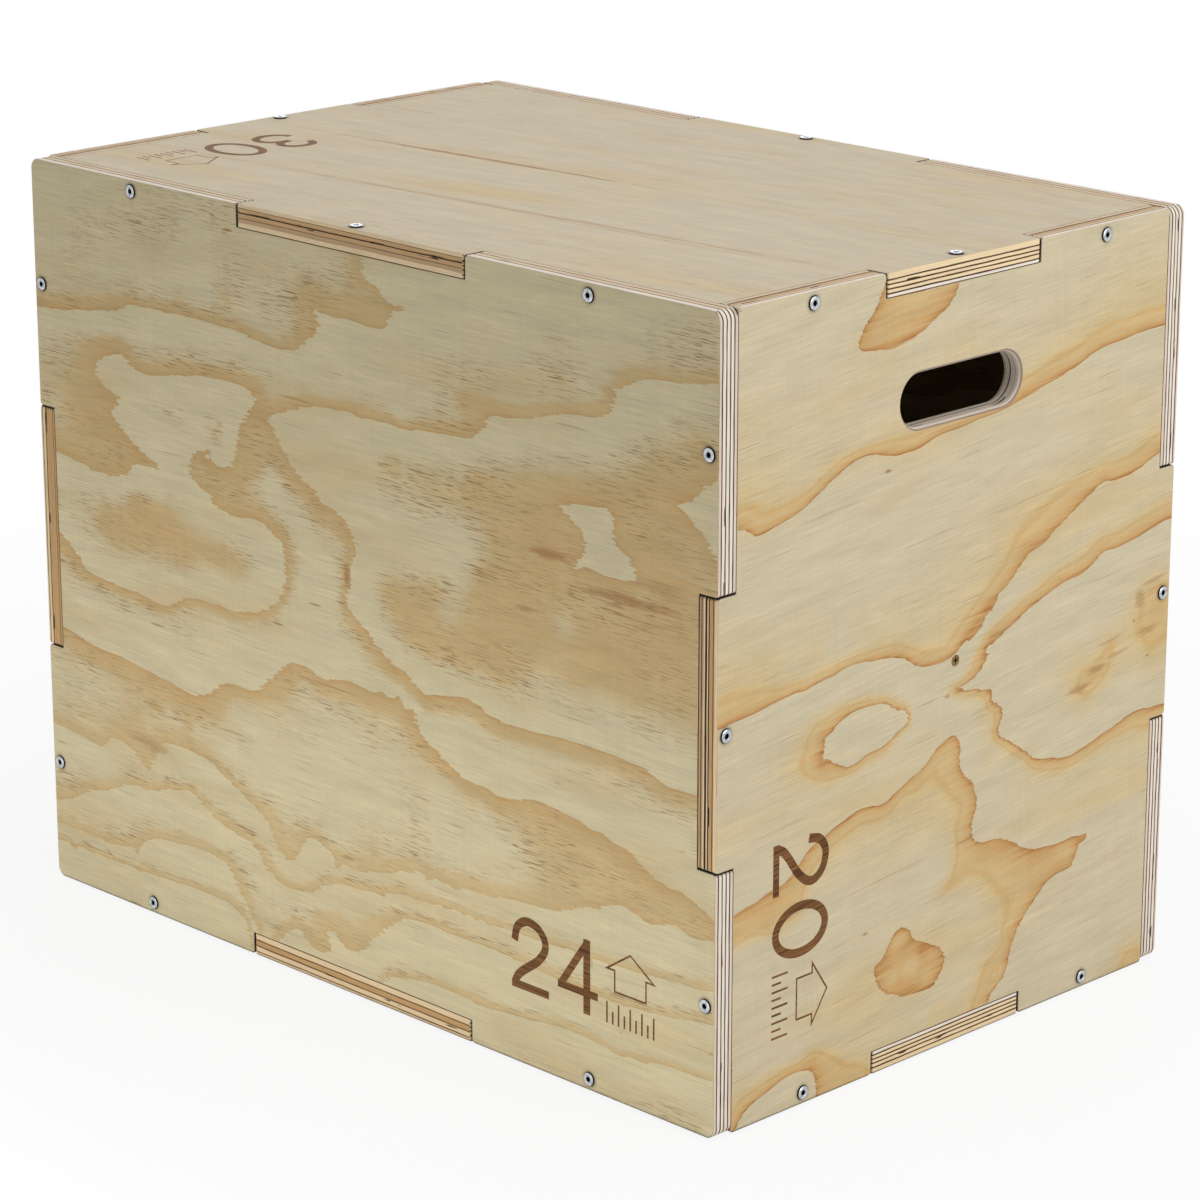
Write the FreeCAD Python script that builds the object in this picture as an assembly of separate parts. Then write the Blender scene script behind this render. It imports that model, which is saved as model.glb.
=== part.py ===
import FreeCAD, Part
import math
import os

# Plyo box: six finger-jointed plywood panels, one brace board inside, and the screws that hold them.
# Millimetres. The origin is the middle of the underside of the bottom panel. +Z is up, +X runs along the
# length towards the right end, and -Y is the front.

# Overall size over the panels
box_length = 762.0
box_depth = 508.0
box_height = 609.6

# Plywood sheet
ply_thickness = 18.0

# Fingers at the middle of the panel edges, named by the direction they run in
finger_length_x = 254.0
finger_length_y = 169.3
finger_length_z = 203.2
joint_gap = 0.3

# Corners and eased edges of the panels
panel_corner_radius = 8.0
finger_corner_radius = 3.0
edge_round = 1.0
inner_round = 0.6

# Hand slot in each end panel
slot_length = 132.0
slot_height = 40.5
slot_drop = 99.0
slot_round = 3.0

# Brace board between the end panels
brace_height = 150.0

# Connector screw
screw_reach = 50.0
head_diameter = 10.0
head_proud = 1.5
head_sunk = 2.0
head_bevel_width = 0.7
head_bevel_drop = 0.4
head_clearance = 0.25
socket_across_flats = 4.0
socket_depth = 3.5
socket_mouth = 0.4
shoulder_diameter = 7.0
shoulder_length = 12.0
shoulder_clearance = 0.2
thread_diameter = 6.6
thread_core_diameter = 4.8
thread_pitch = 3.0
thread_flank = 0.8
thread_clearance = 0.1
tip_diameter = 3.6
tip_length = 4.0
pilot_spare = 2.0
screw_turn_step = 23.0

# Wood screw that holds the brace
wood_screw_reach = 50.0
wood_head_diameter = 8.6
wood_head_rim = 0.4
wood_screw_clearance = 0.1
wood_shank_diameter = 4.4
wood_shank_length = 14.0
wood_thread_diameter = 4.2
wood_thread_core_diameter = 2.8
wood_thread_pitch = 2.0
wood_thread_flank = 0.6
wood_tip_diameter = 0.8
wood_tip_length = 6.0
cross_arm_length = 4.6
cross_arm_width = 1.1
cross_depth = 2.0

# Sizes that follow from the ones above
half_length = box_length / 2
half_depth = box_depth / 2
half_height = box_height / 2
box_centre = FreeCAD.Vector(0, 0, half_height)

# Directions
ORIGIN = FreeCAD.Vector(0, 0, 0)
RIGHT = FreeCAD.Vector(1, 0, 0)
BACK = FreeCAD.Vector(0, 1, 0)
UP = FreeCAD.Vector(0, 0, 1)
FULL_TURN = 360.0
HEX_SIDES = 6
SAME_PLANE = 1e-6


class EdgePair:
    """Two opposite edges of a panel: their end stretches and the middle one, a finger or a notch."""

    def __init__(self, reach, ends_inset, middle_inset, finger_length):
        self.ends = reach - ends_inset
        self.middle = reach - middle_inset
        self.is_finger = middle_inset < ends_inset
        self.half_finger = finger_length / 2
        if self.is_finger:
            self.half_middle = self.half_finger - joint_gap / 2
        else:
            self.half_middle = self.half_finger + joint_gap / 2
        self.screw_level = reach - ply_thickness / 2

    def screw_places(self, crossing):
        """Where the screws stand along the edge: the middle of each stretch that reaches the box face."""
        if self.is_finger:
            return [0.0]
        place = (self.half_finger + crossing.ends) / 2
        return [-place, place]


class Panel:
    """A panel drawn in its own plane (u, v), with its outer face towards w."""

    def __init__(self, u, v, reach, sides, caps, corner_radius):
        self.u = u
        self.v = v
        self.w = u.cross(v)
        self.sides = sides
        self.caps = caps
        self.corner_radius = corner_radius
        corner = box_centre + self.w * (reach - ply_thickness)
        self.placement = FreeCAD.Placement(FreeCAD.Matrix(
            u.x, v.x, self.w.x, corner.x,
            u.y, v.y, self.w.y, corner.y,
            u.z, v.z, self.w.z, corner.z,
            0, 0, 0, 1,
        ))


def rounded_wire(corners):
    """Closed outline through right-angled corners, each given as (u, v, radius)."""
    points = [FreeCAD.Vector(u, v, 0) for u, v, radius in corners]
    count = len(points)
    arcs = []
    starts = []
    ends = []
    for i in range(count):
        radius = corners[i][2]
        arrive = (points[i] - points[i - 1]).normalize()
        leave = (points[(i + 1) % count] - points[i]).normalize()
        start = points[i] - arrive * radius
        end = points[i] + leave * radius
        centre = start + leave * radius
        middle = centre + (points[i] - centre).normalize() * radius
        arcs.append(Part.Arc(start, middle, end).toShape())
        starts.append(start)
        ends.append(end)
    edges = []
    for i in range(count):
        edges.append(arcs[i])
        edges.append(Part.makeLine(ends[i], starts[(i + 1) % count]))
    return Part.Wire(edges)


def panel_wire(panel):
    """Outline of a panel: one quarter of it, mirrored to the other three."""
    sides = panel.sides
    caps = panel.caps
    quarter = [
        (sides.middle, sides.half_middle),
        (sides.ends, sides.half_middle),
        (sides.ends, caps.ends),
        (caps.half_middle, caps.ends),
        (caps.half_middle, caps.middle),
    ]
    side_radius = finger_corner_radius if sides.is_finger else inner_round
    side_root_radius = inner_round if sides.is_finger else finger_corner_radius
    cap_radius = finger_corner_radius if caps.is_finger else inner_round
    cap_root_radius = inner_round if caps.is_finger else finger_corner_radius
    radii = [side_radius, side_root_radius, panel.corner_radius, cap_root_radius, cap_radius]
    corners = [(u, v, radius) for (u, v), radius in zip(quarter, radii)]
    outline = list(corners)
    outline += [(-u, v, radius) for u, v, radius in reversed(corners)]
    outline += [(-u, -v, radius) for u, v, radius in corners]
    outline += [(u, -v, radius) for u, v, radius in reversed(corners)]
    return rounded_wire(outline)


def edges_at(shape, level):
    """Edges of a shape that lie flat at one level."""
    flat = []
    for edge in shape.Edges:
        box = edge.BoundBox
        if abs(box.ZMin - level) < SAME_PLANE and abs(box.ZMax - level) < SAME_PLANE:
            flat.append(edge)
    return flat


def panel_sheet(panel):
    """Panel with eased edges: inner face at level 0, outer face one sheet thickness above it."""
    sheet = Part.Face(panel_wire(panel)).extrude(UP * ply_thickness)
    sheet = sheet.makeFillet(edge_round, edges_at(sheet, ply_thickness))
    return sheet.makeFillet(inner_round, edges_at(sheet, 0))


def cut_hand_slot(sheet):
    """Cut the round-ended hand slot through an end panel and round over both of its mouths."""
    level = half_height - slot_drop
    radius = slot_height / 2
    reach = slot_length / 2 - radius
    top_left = FreeCAD.Vector(-reach, level + radius, 0)
    top_right = FreeCAD.Vector(reach, level + radius, 0)
    bottom_left = FreeCAD.Vector(-reach, level - radius, 0)
    bottom_right = FreeCAD.Vector(reach, level - radius, 0)
    left_end = FreeCAD.Vector(-reach - radius, level, 0)
    right_end = FreeCAD.Vector(reach + radius, level, 0)
    outline = Part.Wire([
        Part.makeLine(bottom_left, bottom_right),
        Part.Arc(bottom_right, right_end, top_right).toShape(),
        Part.makeLine(top_right, top_left),
        Part.Arc(top_left, left_end, bottom_left).toShape(),
    ])
    slotted = sheet.cut(Part.Face(outline).extrude(UP * ply_thickness))
    mouths = []
    for edge in edges_at(slotted, ply_thickness) + edges_at(slotted, 0):
        middle = edge.BoundBox.Center
        if abs(middle.x) < slot_length / 2 and abs(middle.y - level) < slot_height:
            mouths.append(edge)
    return slotted.makeFillet(slot_round, mouths)


def turned(profile):
    """Solid of revolution about Z from (radius, level) points that start and end on the axis."""
    points = [FreeCAD.Vector(radius, 0, level) for radius, level in profile]
    return Part.Face(Part.makePolygon(points + points[:1])).revolve(ORIGIN, UP, FULL_TURN)


def thread_rings(start, stop, core_diameter, crest_diameter, pitch, flank):
    """Profile points of a thread between two depths, one ridge for each turn."""
    core = core_diameter / 2
    crest = crest_diameter / 2
    points = []
    for i in range(int((stop - start) // pitch)):
        depth = start + i * pitch
        points += [(core, -depth), (crest, -depth - flank), (core, -depth - 2 * flank)]
    return points


def connector_screw():
    """Hex-socket connector screw. The panel face is level 0, and the screw points down."""
    head = head_diameter / 2
    shoulder = shoulder_diameter / 2
    thread_start = head_sunk + shoulder_length
    thread_stop = screw_reach - tip_length
    profile = [
        (0, head_proud),
        (head - head_bevel_width, head_proud),
        (head, head_proud - head_bevel_drop),
        (head, -head_sunk),
        (shoulder, -head_sunk),
        (shoulder, -thread_start),
    ]
    profile += thread_rings(
        thread_start, thread_stop, thread_core_diameter, thread_diameter, thread_pitch, thread_flank)
    profile += [
        (thread_core_diameter / 2, -thread_stop),
        (tip_diameter / 2, -screw_reach),
        (0, -screw_reach),
    ]
    corner = socket_across_flats / 2 / math.cos(math.pi / HEX_SIDES)
    socket_floor = head_proud - socket_depth
    hexagon = []
    for i in range(HEX_SIDES + 1):
        angle = 2 * math.pi * i / HEX_SIDES
        hexagon.append(FreeCAD.Vector(corner * math.cos(angle), corner * math.sin(angle), socket_floor))
    socket = Part.Face(Part.makePolygon(hexagon)).extrude(UP * socket_depth)
    mouth_level = UP * (head_proud - socket_mouth)
    mouth = Part.makeCone(corner, corner + socket_mouth, socket_mouth, mouth_level)
    return turned(profile).cut([socket, mouth])


def connector_bore():
    """What a connector screw takes out of the panel its head sits in."""
    seat = Part.makeCylinder(head_diameter / 2 + head_clearance, head_sunk, ORIGIN, -UP)
    hole = Part.makeCylinder(shoulder_diameter / 2 + shoulder_clearance, ply_thickness, ORIGIN, -UP)
    return [seat, hole]


def connector_pilot():
    """What a connector screw takes out of the panel edge it bites into."""
    depth = screw_reach - ply_thickness + pilot_spare
    return Part.makeCylinder(thread_diameter / 2 + thread_clearance, depth, UP * -ply_thickness, -UP)


def wood_screw_head(radius, shank):
    """Profile points of the sunk head of the wood screw, down to its shank."""
    return [(0, 0), (radius, 0), (radius, -wood_head_rim), (shank, -wood_head_rim - (radius - shank))]


def wood_screw():
    """Cross-recess wood screw with a sunk head. The panel face is level 0, and the screw points down."""
    shank = wood_shank_diameter / 2
    thread_stop = wood_screw_reach - wood_tip_length
    profile = wood_screw_head(wood_head_diameter / 2, shank)
    profile += [(shank, -wood_shank_length)]
    profile += thread_rings(
        wood_shank_length, thread_stop, wood_thread_core_diameter, wood_thread_diameter,
        wood_thread_pitch, wood_thread_flank)
    profile += [
        (wood_thread_core_diameter / 2, -thread_stop),
        (wood_tip_diameter / 2, -wood_screw_reach),
        (0, -wood_screw_reach),
    ]
    arm = Part.makeBox(cross_arm_length, cross_arm_width, cross_depth)
    arm.translate(FreeCAD.Vector(-cross_arm_length / 2, -cross_arm_width / 2, -cross_depth))
    other_arm = arm.rotated(ORIGIN, UP, FULL_TURN / 4)
    return turned(profile).cut([arm, other_arm])


def wood_screw_bore():
    """What the wood screw takes out of the end panel."""
    radius = wood_head_diameter / 2 + wood_screw_clearance
    shank = wood_shank_diameter / 2 + wood_screw_clearance
    return turned(wood_screw_head(radius, shank) + [(shank, -ply_thickness), (0, -ply_thickness)])


def wood_screw_pilot():
    """What the wood screw takes out of the end of the brace."""
    radius = wood_thread_diameter / 2 + wood_screw_clearance
    depth = wood_screw_reach - ply_thickness + pilot_spare
    return Part.makeCylinder(radius, depth, UP * -ply_thickness, -UP)


def on_face(panel, shape, u, v, turn=0.0):
    """Copy of a shape drawn at level 0, turned and set on the outer face of a panel at (u, v)."""
    spot = FreeCAD.Placement(FreeCAD.Vector(u, v, ply_thickness), FreeCAD.Rotation(UP, turn))
    return shape.transformed(panel.placement.multiply(spot).toMatrix(), True)


def panel_set():
    """The six panels by name."""
    front_sides = EdgePair(half_length, 0, ply_thickness, finger_length_z)
    front_caps = EdgePair(half_height, 0, ply_thickness, finger_length_x)
    end_sides = EdgePair(half_depth, ply_thickness, 0, finger_length_z)
    end_caps = EdgePair(half_height, 0, ply_thickness, finger_length_y)
    top_sides = EdgePair(half_length, ply_thickness, 0, finger_length_y)
    top_caps = EdgePair(half_depth, ply_thickness, 0, finger_length_x)
    return {
        "front": Panel(RIGHT, UP, half_depth, front_sides, front_caps, panel_corner_radius),
        "back": Panel(-RIGHT, UP, half_depth, front_sides, front_caps, panel_corner_radius),
        "right_end": Panel(BACK, UP, half_length, end_sides, end_caps, finger_corner_radius),
        "left_end": Panel(-BACK, UP, half_length, end_sides, end_caps, finger_corner_radius),
        "top": Panel(RIGHT, BACK, half_height, top_sides, top_caps, finger_corner_radius),
        "bottom": Panel(RIGHT, -BACK, half_height, top_sides, top_caps, finger_corner_radius),
    }


def facing(panels, direction):
    """Name of the panel whose outer face looks in a direction."""
    for name, panel in panels.items():
        if panel.w.isEqual(direction, SAME_PLANE):
            return name


def screw_rows(panel):
    """The four edges of a panel, each as its direction and the (u, v) places of its screws."""
    sides = panel.sides
    caps = panel.caps
    along_sides = sides.screw_places(caps)
    along_caps = caps.screw_places(sides)
    return [
        (panel.u, [(sides.screw_level, v) for v in along_sides]),
        (-panel.u, [(-sides.screw_level, v) for v in along_sides]),
        (panel.v, [(u, caps.screw_level) for u in along_caps]),
        (-panel.v, [(u, -caps.screw_level) for u in along_caps]),
    ]


def build():
    """All nodes of the box by name, as lists of solids."""
    panels = panel_set()
    cuts = {name: [] for name in panels}
    nodes = {}

    screw = connector_screw()
    bores = connector_bore()
    pilot = connector_pilot()
    turn = 0.0
    for name, panel in panels.items():
        for direction, places in screw_rows(panel):
            other = facing(panels, direction)
            row = []
            for u, v in places:
                row.append(on_face(panel, screw, u, v, turn))
                cuts[name] += [on_face(panel, bore, u, v) for bore in bores]
                cuts[other].append(on_face(panel, pilot, u, v))
                turn += screw_turn_step
            plural = "s" if len(row) > 1 else ""
            nodes[name + "_to_" + other + "_screw" + plural] = row

    brace_length = box_length - 2 * ply_thickness
    brace = Part.makeBox(brace_length, ply_thickness, brace_height)
    brace.translate(box_centre - FreeCAD.Vector(brace_length / 2, ply_thickness / 2, brace_height / 2))
    brace = brace.makeFillet(inner_round, brace.Edges)
    for name in ("left_end", "right_end"):
        nodes[name + "_brace_screw"] = [on_face(panels[name], wood_screw(), 0, 0)]
        cuts[name].append(on_face(panels[name], wood_screw_bore(), 0, 0))
        brace = brace.cut(on_face(panels[name], wood_screw_pilot(), 0, 0))
    nodes["centre_brace"] = [brace]

    for name, panel in panels.items():
        sheet = panel_sheet(panel)
        if name in ("left_end", "right_end"):
            sheet = cut_hand_slot(sheet)
        sheet = sheet.transformed(panel.placement.toMatrix(), True)
        nodes[name + "_panel"] = [sheet.cut(cuts[name])]
    return nodes


os.makedirs("parts", exist_ok=True)
for node, solids in build().items():
    shape = Part.makeCompound(solids) if len(solids) > 1 else solids[0]
    shape.exportStep("parts/" + node + ".step")
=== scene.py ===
import math
from dataclasses import dataclass

import bmesh
import bpy
import numpy as np
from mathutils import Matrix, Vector
from mathutils.geometry import delaunay_2d_cdt


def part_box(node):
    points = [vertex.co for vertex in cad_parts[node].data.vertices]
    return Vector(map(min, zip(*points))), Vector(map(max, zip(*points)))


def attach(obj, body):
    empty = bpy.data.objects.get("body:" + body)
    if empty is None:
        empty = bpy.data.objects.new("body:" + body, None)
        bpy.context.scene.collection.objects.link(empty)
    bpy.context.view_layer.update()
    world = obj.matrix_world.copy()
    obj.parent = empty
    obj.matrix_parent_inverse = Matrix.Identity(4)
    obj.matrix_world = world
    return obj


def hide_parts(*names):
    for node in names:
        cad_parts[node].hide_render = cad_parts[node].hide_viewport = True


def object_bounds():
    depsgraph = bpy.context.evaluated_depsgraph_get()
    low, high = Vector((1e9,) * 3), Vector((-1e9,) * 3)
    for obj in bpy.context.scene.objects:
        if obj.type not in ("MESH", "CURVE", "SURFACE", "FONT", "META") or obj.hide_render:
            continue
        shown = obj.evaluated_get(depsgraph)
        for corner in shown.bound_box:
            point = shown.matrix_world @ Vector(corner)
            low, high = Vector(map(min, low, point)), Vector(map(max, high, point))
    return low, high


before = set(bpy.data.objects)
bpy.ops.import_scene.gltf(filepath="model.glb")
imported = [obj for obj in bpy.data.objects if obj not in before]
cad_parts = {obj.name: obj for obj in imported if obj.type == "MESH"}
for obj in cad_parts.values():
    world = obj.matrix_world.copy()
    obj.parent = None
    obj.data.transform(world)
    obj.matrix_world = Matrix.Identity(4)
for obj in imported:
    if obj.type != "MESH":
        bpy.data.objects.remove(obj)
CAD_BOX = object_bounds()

MM = 0.001
X = np.array((1.0, 0.0, 0.0))
Y = np.array((0.0, 1.0, 0.0))
Z = np.array((0.0, 0.0, 1.0))

# Outer planes of the box, read from the frame.
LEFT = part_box("left_end_panel")[0].x
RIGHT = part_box("right_end_panel")[1].x
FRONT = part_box("front_panel")[0].y
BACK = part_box("back_panel")[1].y
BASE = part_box("bottom_panel")[0].z
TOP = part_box("top_panel")[1].z
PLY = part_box("front_panel")[1].y - FRONT

# Meshes of the panels. An opening lies at least its margin away from the panel's border. The net of an
# outer face is made in millimetres, and so is its tolerance.
SHARP_ANGLE = math.radians(35)
OPENING_MARGIN = 40.0 * MM
WELD_DISTANCE = 0.002 * MM
FACE_TOLERANCE = 0.01 * MM
NET_TOLERANCE = 1e-4

# Engraved marks, in millimetres. They stand on a baseline and run from the left.
MARK_DEPTH = 0.25
MARK_MARGIN = 59.5
DIGIT_STROKE = 7.0
DIGIT_PITCH = 50.0
ARROW_START = 100.5
ARROW_STROKE = 1.5
TICK_START = 101.5
TICK_COUNT = 9
TICK_PITCH = 6.0
TICK_STROKE = 1.7
TICK_HEIGHTS = (17.0, 10.0)
MARK_LENGTH = 150.5


def linear(red, green, blue):
    """A colour written in ordinary 0 to 255 screen values, as the shader wants it."""
    def one(value):
        share = value / 255
        return share / 12.92 if share <= 0.04045 else ((share + 0.055) / 1.055) ** 2.4
    return (one(red), one(green), one(blue), 1.0)


class Sheet:
    """A plywood panel. Places on it are (a, b, depth) from a corner of its outer face.

    a runs along the panel, b across it and depth goes into the panel. The fibres may rise a little
    along a, and each panel takes its fibre pattern from a place of its own.
    """

    def __init__(self, node, corner, along, across, pattern, step=8.0, rise=0.0):
        self.node = node
        self.corner = np.array(corner)
        self.axes = np.array((along, across, np.cross(along, across)))
        self.size = np.abs(self.axes @ np.subtract(*reversed(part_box(node))))
        self.step = step
        turn = math.radians(rise)
        self.turn = np.array(((math.cos(turn), math.sin(turn)), (-math.sin(turn), math.cos(turn))))
        self.pattern = np.array(pattern)

    def flat(self, points):
        return (points - self.corner) @ self.axes.T

    def solid(self, places):
        return places @ self.axes + self.corner

    def grain(self, places):
        """Places along and across the fibres."""
        return np.column_stack((places[:, :2] @ self.turn + self.pattern, places[:, 2]))


BRACE_LOW, BRACE_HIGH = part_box("centre_brace")
SHEETS = {
    "front": Sheet("front_panel", (LEFT, FRONT, TOP), X, -Z, (0, 0), step=4.0),
    "back": Sheet("back_panel", (RIGHT, BACK, TOP), -X, -Z, (3, 1)),
    "right": Sheet("right_end_panel", (RIGHT, FRONT, TOP), Y, -Z, (6, 2), step=4.0, rise=5.0),
    "left": Sheet("left_end_panel", (LEFT, BACK, TOP), -Y, -Z, (9, 3), rise=-3.0),
    "top": Sheet("top_panel", (LEFT, BACK, TOP), X, -Y, (12, 4), step=6.0, rise=4.3),
    "bottom": Sheet("bottom_panel", (LEFT, FRONT, BASE), X, Y, (15, 5)),
    "brace": Sheet("centre_brace", (BRACE_LOW.x, BRACE_LOW.y, BRACE_HIGH.z), X, -Z, (18, 6)),
}

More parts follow.
